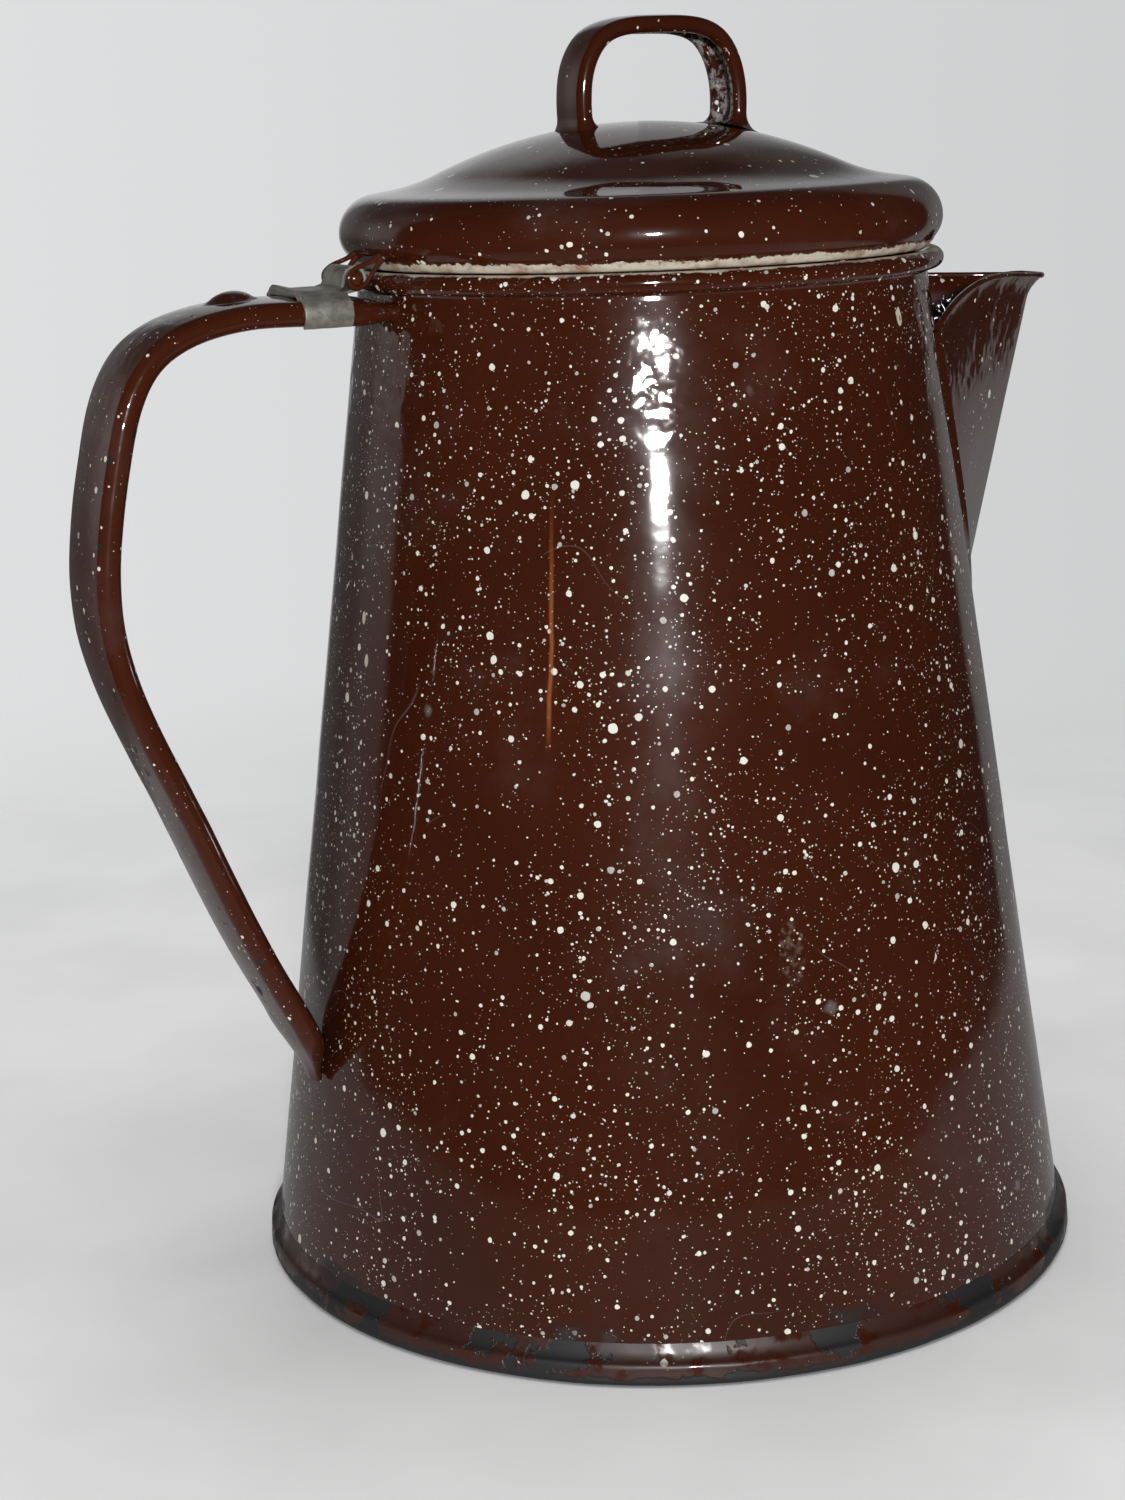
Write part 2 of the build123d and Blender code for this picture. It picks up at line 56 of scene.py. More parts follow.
def box_mm(node):
    """Lowest and highest corner of a CAD node at rest, in millimetres."""
    low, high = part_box(node)
    return low / MM, high / MM


# ---- sizes ----------------------------------------------------------------

wall_low, wall_high = box_mm("pot_wall")
_, seam_high = box_mm("base_pan")
_, spout_high = box_mm("spout")
_, handle_high = box_mm("handle")
clip_low, _ = box_mm("hinge_clip")
_, lid_high = box_mm("lid_shell")
loop_low, loop_high = box_mm("lid_loop")
hinge = next(joint for joint in frame["joints"] if joint["name"] == "lid_hinge")
hinge_x, _, hinge_z = [value / MM for value in hinge["pos_m"]]

SHEET = 0.9
WALL_TAPER = 0.1374
WALL_BASE = wall_high.x + WALL_TAPER * wall_low.z

BEAD_RADIUS = 1.9
BEAD_REACH = 58.4
BEAD_HEIGHT = wall_high.z - BEAD_RADIUS - 0.05

HANDLE_EDGE = 2.4
HANDLE_HALF = handle_high.y - HANDLE_EDGE
LOOP_EDGE = 1.65
LOOP_HALF = loop_high.y - LOOP_EDGE
LOOP_CENTRE = (loop_low.x + loop_high.x) / 2


def wall_radius(height):
    return WALL_BASE - WALL_TAPER * height


def smooth(value):
    """0 below 0, 1 above 1, and an even ease between."""
    value = min(1.0, max(0.0, value))
    return value * value * (3 - 2 * value)


# ---- mesh tools -----------------------------------------------------------

def make_piece(name, points, faces, material, body, replaces=None, crease=40):
    """A mesh piece from points in millimetres, riding on a CAD body."""
    mesh = bpy.data.meshes.new(name)
    mesh.from_pydata((np.asarray(points, float) * MM).tolist(), [], faces)
    mesh.validate()
    mesh.materials.append(material)
    piece = bpy.data.objects.new(name, mesh)
    bpy.context.scene.collection.objects.link(piece)
    face_outwards(piece)
    mesh.polygons.foreach_set("use_smooth", [True] * len(mesh.polygons))
    mesh.set_sharp_from_angle(angle=radians(crease))
    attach(piece, body)
    if replaces:
        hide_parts(replaces)
    return piece


def face_outwards(piece):
    shape = bmesh.new()
    shape.from_mesh(piece.data)
    bmesh.ops.remove_doubles(shape, verts=shape.verts, dist=1e-6)
    bmesh.ops.recalc_face_normals(shape, faces=shape.faces)
    shape.to_mesh(piece.data)
    shape.free()


def grid_faces(rows, columns, wrap_rows=False, wrap_columns=False, start=0):
    """Quads over a grid of points stored row by row."""
    faces = []
    for row in range(rows if wrap_rows else rows - 1):
        for column in range(columns if wrap_columns else columns - 1):
            next_row = (row + 1) % rows
            next_column = (column + 1) % columns
            faces.append((
                start + row * columns + column,
                start + row * columns + next_column,
                start + next_row * columns + next_column,
                start + next_row * columns + column,
            ))
    return faces


def lathe(profile, segments=240, warp=None):
    """Turns a closed profile of (radius, height) round Z. warp moves each point outward."""
    points = []
    for radius, height in profile:
        for step in range(segments):
            angle = 2 * pi * step / segments
            reach = radius + (warp(angle, radius, height) if warp else 0.0)
            points.append((reach * cos(angle), reach * sin(angle), height))
    return points, grid_faces(len(profile), segments, wrap_rows=True, wrap_columns=True)


def skin(rings, caps=True):
    """Joins closed rings of points into a tube, with its ends capped."""
    count = len(rings[0])
    points = [point for ring in rings for point in ring]
    faces = grid_faces(len(rings), count, wrap_columns=True)
    if caps:
        faces.append(tuple(range(count))[::-1])
        faces.append(tuple(range((len(rings) - 1) * count, len(rings) * count)))
    return points, faces


def arc(centre, radius, start, end, steps):
    """Points round a centre, with angles in degrees."""
    angles = np.radians(np.linspace(start, end, steps))
    return [(centre[0] + radius * cos(a), centre[1] + radius * sin(a)) for a in angles]


def line(start, end, steps):
    """Evenly spaced points from start to end, both included."""
    return [tuple(p) for p in np.linspace(start, end, steps)]


def smooth_path(knots, steps):
    """A natural cubic spline through the knots, evenly spaced along its length."""
    knots = np.asarray(knots, float)
    spans = np.linalg.norm(np.diff(knots, axis=0), axis=1)
    at = np.concatenate(([0.0], np.cumsum(spans)))
    count = len(knots)
    system = np.eye(count)
    bends = np.zeros_like(knots)
    for i in range(1, count - 1):
        system[i, i - 1] = spans[i - 1]
        system[i, i] = 2 * (spans[i - 1] + spans[i])
        system[i, i + 1] = spans[i]
        bends[i] = 6 * ((knots[i + 1] - knots[i]) / spans[i] - (knots[i] - knots[i - 1]) / spans[i - 1])
    bends = np.linalg.solve(system, bends)
    fine = np.linspace(0, at[-1], 1200)
    span = np.clip(np.searchsorted(at, fine, side="right") - 1, 0, count - 2)
    left = (at[span + 1] - fine)[:, None]
    right = (fine - at[span])[:, None]
    length = spans[span][:, None]
    curve = (
        (bends[span] * left**3 + bends[span + 1] * right**3) / (6 * length)
        + (knots[span] / length - bends[span] * length / 6) * left
        + (knots[span + 1] / length - bends[span + 1] * length / 6) * right
    )
    run = np.concatenate(([0.0], np.cumsum(np.linalg.norm(np.diff(curve, axis=0), axis=1))))
    even = np.linspace(0, run[-1], steps)
    return np.column_stack([np.interp(even, run, curve[:, axis]) for axis in range(curve.shape[1])])


def tube(path, radius, steps=18):
    """Rings round a smooth 3-D path. radius may be one number or one for each point."""
    path = np.asarray(path, float)
    radii = np.broadcast_to(radius, len(path))
    tangents = np.gradient(path, axis=0)
    tangents /= np.linalg.norm(tangents, axis=1)[:, None]
    up = np.array((0.0, 1.0, 0.0)) if abs(tangents[0][1]) < 0.9 else np.array((0.0, 0.0, 1.0))
    rings = []
    for place, tangent, reach in zip(path, tangents, radii):
        side = np.cross(tangent, up)
        side /= np.linalg.norm(side)
        up = np.cross(side, tangent)
        turns = np.linspace(0, 2 * pi, steps, endpoint=False)
        rings.append([tuple(place + reach * (cos(t) * side + sin(t) * up)) for t in turns])
    return rings


def ripple(point, size, seed):
    """Smooth noise from -1 to 1 at a place, with bumps of about a size in millimetres."""
    return noise.noise(Vector((point[0] / size + seed, point[1] / size, point[2] / size)))


def settle(piece):
    """Replaces a piece's mesh with the result of its modifiers."""
    graph = bpy.context.evaluated_depsgraph_get()
    baked = bpy.data.meshes.new_from_object(piece.evaluated_get(graph))
    piece.modifiers.clear()
    piece.data = baked


# ---- material tools -------------------------------------------------------

class Shader:
    """A small writer for node materials. Places are in millimetres of the object's own frame."""

    def __init__(self, name):
        self.material = bpy.data.materials.new(name)
        self.material.use_nodes = True
        self.tree = self.material.node_tree
        self.surface = self.tree.nodes["Principled BSDF"]
        where = self.tree.nodes.new("ShaderNodeTexCoord").outputs["Object"]
        self.place = self.vector("SCALE", where, scale=1 / MM)

    def add(self, kind, inputs, **settings):
        node = self.tree.nodes.new(kind)
        for key, value in settings.items():
            setattr(node, key, value)
        for key, value in inputs.items():
            self.plug(node.inputs[key], value)
        return node

    def plug(self, socket, value):
        if isinstance(value, bpy.types.NodeSocket):
            self.tree.links.new(value, socket)
        elif socket.type == "RGBA" and len(value) == 3:
            socket.default_value = (*value, 1.0)
        else:
            socket.default_value = value

    def vector(self, operation, a, b=(0, 0, 0), scale=1.0):
        node = self.add("ShaderNodeVectorMath", {0: a}, operation=operation)
        if operation == "SCALE":
            self.plug(node.inputs["Scale"], scale)
        else:
            self.plug(node.inputs[1], b)
        return node.outputs["Vector"]

    def math(self, operation, a, b=0.0, c=0.0, clamp=False):
        inputs = {0: a, 1: b}
        if operation in ("MULTIPLY_ADD", "SMOOTH_MIN", "SMOOTH_MAX"):
            inputs[2] = c
        return self.add("ShaderNodeMath", inputs, operation=operation, use_clamp=clamp).outputs[0]

    def total(self, *values):
        result = values[0]
        for value in values[1:]:
            result = self.math("ADD", result, value)
        return result

    def product(self, *values):
        result = values[0]
        for value in values[1:]:
            result = self.math("MULTIPLY", result, value)
        return result

    def highest(self, *values):
        result = values[0]
        for value in values[1:]:
            result = self.math("MAXIMUM", result, value)
        return result

    def ramp(self, value, start, end, low=0.0, high=1.0):
        """Eases from low to high while value goes from start to end. start may be above end."""
        if start > end:
            start, end, low, high = end, start, high, low
        inputs = {"Value": value, "From Min": start, "From Max": end, "To Min": low, "To Max": high}
        return self.add("ShaderNodeMapRange", inputs, interpolation_type="SMOOTHSTEP").outputs["Result"]

    def noise(self, size, detail=2.0, roughness=0.5, place=None, shift=0.0):
        """Noise with features of about a size in millimetres, from 0 to 1 round 0.5."""
        place = self.vector("ADD", place or self.place, (shift, shift * 1.7, -shift))
        inputs = {"Vector": place, "Scale": 1 / size, "Detail": detail, "Roughness": roughness}
        return self.add("ShaderNodeTexNoise", inputs).outputs["Fac"]

    def cells(self, size, place, shift):
        """Distance to the nearest scattered point, in millimetres, and that point's random colour."""
        place = self.vector("ADD", place, (shift, -shift * 1.3, shift * 0.7))
        node = self.add("ShaderNodeTexVoronoi", {"Vector": place, "Scale": 1 / size})
        return self.math("MULTIPLY", node.outputs["Distance"], size), node.outputs["Color"]

    def split(self, colour):
        node = self.add("ShaderNodeSeparateColor", {"Color": colour})
        return node.outputs[0], node.outputs[1], node.outputs[2]

    def axes(self, place=None):
        node = self.add("ShaderNodeSeparateXYZ", {"Vector": place or self.place})
        return node.outputs[0], node.outputs[1], node.outputs[2]

    def mix(self, factor, low, high):
        node = self.tree.nodes.new("ShaderNodeMix")
        node.data_type = "RGBA"
        self.plug(node.inputs["Factor"], factor)
        self.plug(node.inputs["A"], low)
        self.plug(node.inputs["B"], high)
        return node.outputs["Result"]

    def blend(self, factor, low, high):
        """Plain number between low and high."""
        node = self.tree.nodes.new("ShaderNodeMix")
        self.plug(node.inputs["Factor"], factor)
        self.plug(node.inputs["A"], low)
        self.plug(node.inputs["B"], high)
        return node.outputs["Result"]

    def attribute(self, name):
        return self.add("ShaderNodeAttribute", {}, attribute_name=name).outputs["Fac"]

    def round_the_pot(self):
        """Angle round the axis in degrees and height in millimetres."""
        x, y, z = self.axes()
        angle = self.math("ARCTAN2", y, x)
        return self.math("MULTIPLY", angle, 180 / pi), z

    def bump(self, height_mm, strength=1.0):
        inputs = {"Height": height_mm, "Distance": MM, "Strength": strength}
        return self.add("ShaderNodeBump", inputs).outputs["Normal"]

    def finish(self, **sockets):
        names = {"base": "Base Color", "roughness": "Roughness", "metallic": "Metallic", "normal": "Normal",
                 "coat": "Coat Weight", "coat_roughness": "Coat Roughness", "ior": "IOR",
                 "specular": "Specular IOR Level"}
        for key, value in sockets.items():
            self.plug(self.surface.inputs[names[key]], value)
        return self.material


# ---- enamel ---------------------------------------------------------------

BROWN = (0.042, 0.0086, 0.0030)
BROWN_DEEP = (0.032, 0.0066, 0.0024)
BROWN_RED = (0.060, 0.0125, 0.0045)
CREAM = (0.66, 0.645, 0.56)
CREAM_GREY = (0.36, 0.34, 0.31)
BARE_BLACK = (0.011, 0.010, 0.011)
RUST = (0.20, 0.065, 0.020)
CHIP_CREAM = (0.50, 0.44, 0.35)

# cell size, largest spot radius and share of cells with a spot, in millimetres
SPOT_SIZES = (
    (7.5, 1.00, 0.85),
    (3.5, 0.68, 0.85),
    (2.1, 0.42, 0.85),
    (1.26, 0.23, 0.80),
    (0.80, 0.12, 0.75),
)


def speckles(shader, amount):
    """Where the cream spots are, and a random tint for each."""
    wobble = shader.add("ShaderNodeTexNoise", {"Vector": shader.place, "Scale": 1.1, "Detail": 1.0})
    place = shader.vector("ADD", shader.place, shader.vector("SCALE", wobble.outputs["Color"], scale=0.34))
    crowd = shader.ramp(shader.noise(22.0, detail=2.0, shift=9.0), 0.30, 0.72, 0.35, 1.55)
    spots, tints = None, None
    for layer, (cell, radius, share) in enumerate(SPOT_SIZES):
        distance, colour = shader.cells(cell, place, 31.0 * layer)
        size, chance, tint = shader.split(colour)
        reach = shader.math("MULTIPLY_ADD", size, radius * 0.6, radius * 0.4)
        inside = shader.ramp(shader.math("SUBTRACT", reach, distance), -0.03, 0.05)
        present = shader.math("LESS_THAN", chance, shader.product(crowd, amount, share))
        spot = shader.product(inside, present)
        spots = spot if spots is None else shader.highest(spots, spot)
        tints = tint if tints is None else shader.blend(spot, tints, tint)
    return spots, tints


def enamel(name, amount=1.0, worn=None, redder=0.0):
    """Glossy brown vitreous enamel with cream spots.

    worn(shader) may return marks laid over the enamel in turn, each a colour, a mask
    and the height in millimetres by which it stands out.
    """
    shader = Shader(name)
    tone = shader.noise(60.0, detail=3.0, shift=4.0)
    base = shader.mix(shader.ramp(tone, 0.3, 0.7), BROWN_DEEP, BROWN)
    base = shader.mix(redder, base, BROWN_RED)
    spots, tint = speckles(shader, amount)
    spot_colour = shader.mix(shader.ramp(tint, 0.62, 0.95), CREAM, CREAM_GREY)
    base = shader.mix(spots, base, spot_colour)

    # hand marks and dried water that dull the gloss a little
    haze = shader.ramp(shader.noise(34.0, detail=5.0, roughness=0.62, shift=17.0), 0.55, 0.78)
    streaks = scratches(shader)
    base = shader.mix(shader.math("MULTIPLY", smudges(shader), 0.35), base, (0.25, 0.22, 0.22))
    base = shader.mix(shader.math("MULTIPLY", haze, 0.05), base, (0.30, 0.26, 0.26))
    base = shader.mix(shader.math("MULTIPLY", streaks, 0.22), base, (0.33, 0.27, 0.25))
    roughness = shader.total(0.055, shader.product(haze, 0.11), shader.product(streaks, 0.25))

    peel = shader.product(shader.noise(4.5, detail=1.5), 0.030)
    swell = shader.product(shader.noise(19.0, detail=1.0, shift=3.0), 0.16)
    _, _, height = shader.axes()
    lumpy = shader.product(shader.ramp(height, 168.0, 182.0), shader.ramp(height, 200.0, 197.0))
    lumps = shader.product(lumpy, shader.noise(7.0, detail=2.0, shift=63.0), 0.50)
    relief = shader.total(peel, swell, lumps, shader.product(spots, 0.012))
    for colour, mask, rise in worn(shader) if worn else ():
        base = shader.mix(mask, base, colour)
        roughness = shader.blend(mask, roughness, 0.62)
        relief = shader.math("MULTIPLY_ADD", mask, rise, relief)
    veil = shader.ramp(shader.noise(13.0, detail=4.0, roughness=0.6, shift=51.0), 0.35, 0.75, 0.04, 0.15)
    return shader.finish(base=base, roughness=roughness, normal=shader.bump(relief), ior=1.5,
                         coat=veil, coat_roughness=0.30)


def smudges(shader):
    """Sparse grey smears two or three millimetres across, and a few thin curved scratches."""
    distance, colour = shader.cells(26.0, shader.place, 77.0)
    size, _, _ = shader.split(colour)
    rough = shader.product(ragged(shader, 1.6, 60.0), 0.7)
    away = shader.total(shader.math("SUBTRACT", distance, shader.math("MULTIPLY", size, 1.7)), rough)
    smear = shader.ramp(away, 0.5, -0.5)
    drift = shader.math("ABSOLUTE", shader.math("SUBTRACT", shader.noise(38.0, detail=1.0, shift=91.0), 0.5))
    line_mark = shader.ramp(drift, 0.0016, 0.0004)
    patch = shader.ramp(shader.noise(31.0, detail=1.0, shift=71.0), 0.57, 0.62)
    return shader.highest(smear, shader.product(line_mark, patch, 0.45))


def scratches(shader):
    """Fine, nearly upright scuffs, thickest on the lower part."""
    angle, height = shader.round_the_pot()
    drawn = shader.add("ShaderNodeCombineXYZ", {
        "X": shader.math("MULTIPLY", angle, 1.9),
        "Y": shader.math("MULTIPLY", height, 0.035),
        "Z": 0.0,
    }).outputs["Vector"]
    lines = shader.noise(1.0, detail=3.0, roughness=0.7, place=drawn)
    patch = shader.noise(26.0, detail=2.0, shift=41.0)
    low = shader.ramp(height, 150.0, 40.0)
    return shader.product(shader.ramp(lines, 0.66, 0.80), shader.ramp(patch, 0.50, 0.70), low)


def ragged(shader, size, shift, detail=4.0):
    """Noise for broken edges, from -1 to 1."""
    value = shader.noise(size, detail=detail, roughness=0.62, shift=shift)
    return shader.math("MULTIPLY_ADD", value, 2.0, -1.0)


def ground_coat(shader, shift):
    """The bare cream ground coat, stained by rust and dirt."""
    stain = shader.ramp(shader.noise(6.0, detail=4.0, shift=shift), 0.46, 0.74)
    dirt = shader.ramp(shader.noise(1.6, detail=3.0, shift=shift + 5), 0.50, 0.76)
    colour = shader.mix(stain, CHIP_CREAM, RUST)
    return shader.mix(shader.math("MULTIPLY", dirt, 0.55), colour, (0.16, 0.13, 0.11))


# oval chips, by angle and height round the pot with their half sizes
CREAM_CHIPS = ((-174.0, 131.0, 0.7, 1.2), (-176.0, 139.0, 0.7, 1.2), (-60.5, 193.5, 0.9, 1.7))
CHIP_HEARTS = ((-60.2, 193.2, 0.25, 0.55),)
TAN_SCUFF = ((-98.0, 80.0, 2.5, 6.0),)


def worn_rim(shader):
    """Cream wear along the top of the rolled rim, chips, a rust run, a scuff on the wall and painted shade in
    the groove at its foot.
    """
    _, _, height = shader.axes()
    edge = shader.total(height, shader.product(ragged(shader, 3.0, 2.0), 0.6))
    rim = shader.ramp(edge, wall_high.z - 0.45, wall_high.z - 0.15)
    scuff = shader.product(pocked(shader, TAN_SCUFF), shader.ramp(ragged(shader, 1.4, 21.0), -0.1, 0.5))
    dots = shader.product(scuff, shader.ramp(ragged(shader, 0.8, 27.0), 0.25, 0.45))
    return [
        (ground_coat(shader, 7.0), rim, 0.05),
        ((0.20, 0.15, 0.12), shader.product(scuff, 0.45), 0.0),
        ((0.35, 0.11, 0.02), dots, 0.0),
        (CHIP_CREAM, pocked(shader, CREAM_CHIPS), -0.05),
        ((0.16, 0.07, 0.03), pocked(shader, CHIP_HEARTS), -0.05),
        ((0.30, 0.075, 0.012), rust_run(shader), 0.0),
        # painted shade in the groove at the foot of the wall
        (BARE_BLACK, groove_shade_band(shader), 0.0),
    ]


def pocked(shader, places):
    """Oval chips, each given by angle and height round the pot and its half sizes."""
    angle, height = shader.round_the_pot()
    found = None
    rough = shader.product(ragged(shader, 1.2, 12.0), 0.25)
    for centre, level, half_width, half_height in places:
        across = shader.math("SUBTRACT", angle, centre)
        across = shader.product(across, radians(wall_radius(level)) / half_width)
        up = shader.product(shader.math("SUBTRACT", height, level), 1 / half_height)
        away = shader.math("SQRT", shader.total(shader.product(across, across), shader.product(up, up)))
        chip = shader.ramp(shader.total(away, rough), 1.12, 0.92)
        found = chip if found is None else shader.highest(found, chip)
    return found


RUN_ANGLE = 134.0


def rust_run(shader):
    """One thin orange run down the wall, left by a drip."""
    angle, height = shader.round_the_pot()
    drift = shader.product(ragged(shader, 30.0, 6.0), 0.8)
    across = shader.math("ABSOLUTE", shader.total(angle, RUN_ANGLE, drift))
    long = shader.product(shader.ramp(height, 117.0, 127.0), shader.ramp(height, 170.0, 142.0))
    return shader.product(shader.ramp(across, 0.55, 0.1), long, 0.6)


def groove_shade_band(shader):
    """Painted shade: black patches in the groove where the wall flares into the seam."""
    angle, height = shader.round_the_pot()
    broken = shader.total(height, shader.product(ragged(shader, 7.0, 8.0), 2.2))
    band = shader.product(shader.ramp(broken, 11.5, 9.6), shader.ramp(broken, 4.2, 5.6))
    patches = shader.ramp(shader.noise(30.0, detail=3.0, shift=14.0), 0.49, 0.58)
    return shader.product(band, patches, 0.70)


def worn_seam(shader):
    """Chipped, sooty foot: black along the very edge and in patches above it, and painted shade in the groove
    above the seam.
    """
    _, _, height = shader.axes()
    edge = shader.total(height, shader.product(ragged(shader, 5.0, 3.0), 2.0))
    foot = shader.ramp(edge, 2.3, 1.7)
    patches = shader.ramp(shader.noise(13.0, detail=5.0, roughness=0.62, shift=23.0), 0.535, 0.56)
    grime = shader.ramp(shader.noise(5.0, detail=4.0, shift=37.0), 0.30, 0.52)
    return [
        ((0.030, 0.010, 0.006), shader.product(grime, 0.7), 0.0),
        # painted shade in the groove where the wall flares into the seam
        (BARE_BLACK, groove_shade_band(shader), 0.0),
        (BARE_BLACK, shader.highest(foot, patches), -0.12),
    ]


def worn_lip(shader):
    """The broken cream ring along the lid's lower lip."""
    _, _, height = shader.axes()
    wide = shader.product(ragged(shader, 22.0, 5.0, detail=1.0), 0.75)
    edge = shader.total(height, wide, shader.product(ragged(shader, 1.6, 9.0), 1.15))
    x, y, _ = shader.axes()
    radius = shader.math("SQRT", shader.total(shader.product(x, x), shader.product(y, y)))
    outside = shader.ramp(radius, SKIRT_RADIUS + 0.5, SKIRT_RADIUS + 1.0)
    ring = shader.product(outside, shader.ramp(edge, LIP_HEIGHT + 1.75, LIP_HEIGHT + 1.45))
    chalk = shader.product(shader.ramp(ragged(shader, 0.9, 19.0), -0.2, 0.3), 0.30)
    return [
        (ground_coat(shader, 3.0), ring, 0.12),
        ((0.62, 0.58, 0.50), shader.product(ring, chalk), 0.10),
    ]


def worn_handle(shader):
    """Black chips on the lower run of the handle."""
    _, _, height = shader.axes()
    patches = shader.ramp(shader.noise(9.0, detail=4.0, roughness=0.62, shift=29.0), 0.605, 0.635)
    zone = shader.product(shader.ramp(height, 52.0, 66.0), shader.ramp(height, 124.0, 108.0))
    tiny = shader.ramp(shader.noise(3.4, detail=3.0, shift=33.0), 0.69, 0.71)
    return [(BARE_BLACK, shader.highest(shader.product(patches, zone), shader.product(tiny, 0.9)), -0.10)]


def worn_loop(shader):
    """Rough, mottled inner face of the lid's loop."""
    inner = shader.attribute("inner")
    across, _, _ = shader.axes()
    mottle = shader.ramp(shader.noise(2.0, detail=5.0, roughness=0.7, shift=3.0), 0.47, 0.60)
    worst = shader.ramp(across, LOOP_CENTRE - 6.0, LOOP_CENTRE + 10.0, 0.30, 0.95)
    return [((0.24, 0.22, 0.21), shader.product(inner, mottle, worst), 0.12)]


# ---- metals ---------------------------------------------------------------

def tin_plate():
    """Dull, stained tin plate with rubbed edges."""
    shader = Shader("tin_plate")
    cloud = shader.noise(3.2, detail=5.0, roughness=0.65)
    fine = shader.noise(0.4, detail=3.0, roughness=0.6, shift=5.0)
    stain = shader.ramp(shader.noise(4.0, detail=4.0, roughness=0.6, shift=11.0), 0.54, 0.74)
    base = shader.mix(shader.ramp(cloud, 0.35, 0.65), (0.20, 0.19, 0.16), (0.32, 0.31, 0.27))
    base = shader.mix(shader.product(stain, 0.65), base, (0.085, 0.066, 0.052))
    base = shader.mix(shader.product(shader.ramp(fine, 0.55, 0.75), 0.55), base, (0.42, 0.41, 0.36))
    base = shader.mix(shader.product(shader.ramp(fine, 0.42, 0.30), 0.45), base, (0.10, 0.09, 0.075))
    roughness = shader.ramp(cloud, 0.3, 0.7, 0.38, 0.58)
    relief = shader.total(shader.product(cloud, 0.10), shader.product(fine, 0.03))
    return shader.finish(base=base, roughness=roughness, metallic=0.5, normal=shader.bump(relief))


def spun_aluminium():
    """Satin aluminium with turning marks round the axis and a coffee bloom."""
    shader = Shader("spun_aluminium")
    x, y, z = shader.axes()
    radius = shader.math("SQRT", shader.total(shader.product(x, x), shader.product(y, y)))
    turned = shader.add("ShaderNodeCombineXYZ", {"X": radius, "Y": z, "Z": 0.0}).outputs["Vector"]
    rings = shader.noise(0.35, detail=3.0, roughness=0.7, place=turned)
    bloom = shader.ramp(shader.noise(12.0, detail=4.0, shift=2.0), 0.45, 0.75)
    base = shader.mix(shader.ramp(rings, 0.3, 0.7), (0.56, 0.56, 0.57), (0.70, 0.70, 0.71))
    base = shader.mix(shader.product(bloom, 0.45), base, (0.32, 0.22, 0.13))
    roughness = shader.total(0.24, shader.product(rings, 0.14), shader.product(bloom, 0.12))
    relief = shader.product(rings, 0.02)
    return shader.finish(base=base, roughness=roughness, metallic=0.95, normal=shader.bump(relief))


# ---- pot wall -------------------------------------------------------------

def wall_warp(angle, radius, height):
    """Hand-made unevenness of the rolled sheet, gone at the rim and the seam."""
    place = (40 * cos(angle), 40 * sin(angle), height)
    calm = smooth((height - 8) / 20) * smooth((196 - height) / 20)
    return calm * (0.16 * ripple(place, 30.0, 3.0) + 0.06 * ripple(place, 11.0, 8.0))


def build_wall():
    inner_top = wall_radius(BEAD_HEIGHT) - SHEET
    profile = line((wall_radius(1) - SHEET, 1.0), (inner_top, BEAD_HEIGHT), 40)
    profile += [(inner_top + 0.12, BEAD_HEIGHT + 0.75), (inner_top + 0.75, BEAD_HEIGHT + 1.45)]
    profile += arc((BEAD_REACH, BEAD_HEIGHT), BEAD_RADIUS, 118, -110, 22)
    root = wall_radius(BEAD_HEIGHT - 2.4)
    profile += [(root + 0.35, BEAD_HEIGHT - 2.05), (root + 0.05, BEAD_HEIGHT - 2.5)]
    profile += line((wall_radius(BEAD_HEIGHT - 4), BEAD_HEIGHT - 4), (wall_radius(1), 1.0), 60)
    points, faces = lathe(profile, segments=288, warp=wall_warp)
    wall = make_piece("enamel_wall", points, faces, enamel("enamel_wall", 1.0, worn_rim), "pot", "pot_wall")
    pierce(wall)


STRAINER_ROWS = 6
STRAINER_PITCH = 8.5
STRAINER_HOLE = 4.6
STRAINER_START = 132.0


def pierce(wall):
    """Cuts the strainer holes behind the spout."""
    drills, faces = [], []
    for row in range(STRAINER_ROWS):
        in_row = 3 + row % 2
        for place in range(in_row):
            side = (place - (in_row - 1) / 2) * STRAINER_PITCH
            level = STRAINER_START + row * STRAINER_PITCH
            first = len(drills)
            for reach in (50.0, 80.0):
                for y, z in arc((side, level), STRAINER_HOLE / 2, 0, 345, 24):
                    drills.append((reach, y, z))
            faces += grid_faces(2, 24, wrap_columns=True, start=first)
            faces.append(tuple(range(first, first + 24)))
            faces.append(tuple(range(first + 24, first + 48))[::-1])
    mesh = bpy.data.meshes.new("strainer_drill")
    mesh.from_pydata((np.asarray(drills) * MM).tolist(), [], faces)
    drill = bpy.data.objects.new("strainer_drill", mesh)
    bpy.context.scene.collection.objects.link(drill)
    face_outwards(drill)
    cut = wall.modifiers.new("strainer", "BOOLEAN")
    cut.object = drill
    cut.solver = "EXACT"
    settle(wall)
    bpy.data.objects.remove(drill)


# ---- base and seam --------------------------------------------------------

GROOVE_MIDDLE = 76.0
GROOVE_HALF = 2.5
GROOVE_DEPTH = 0.6
CREASE_DEPTH = 0.45
FOOT_BEND = 1.5
FLAT_BASE_RADIUS = 70


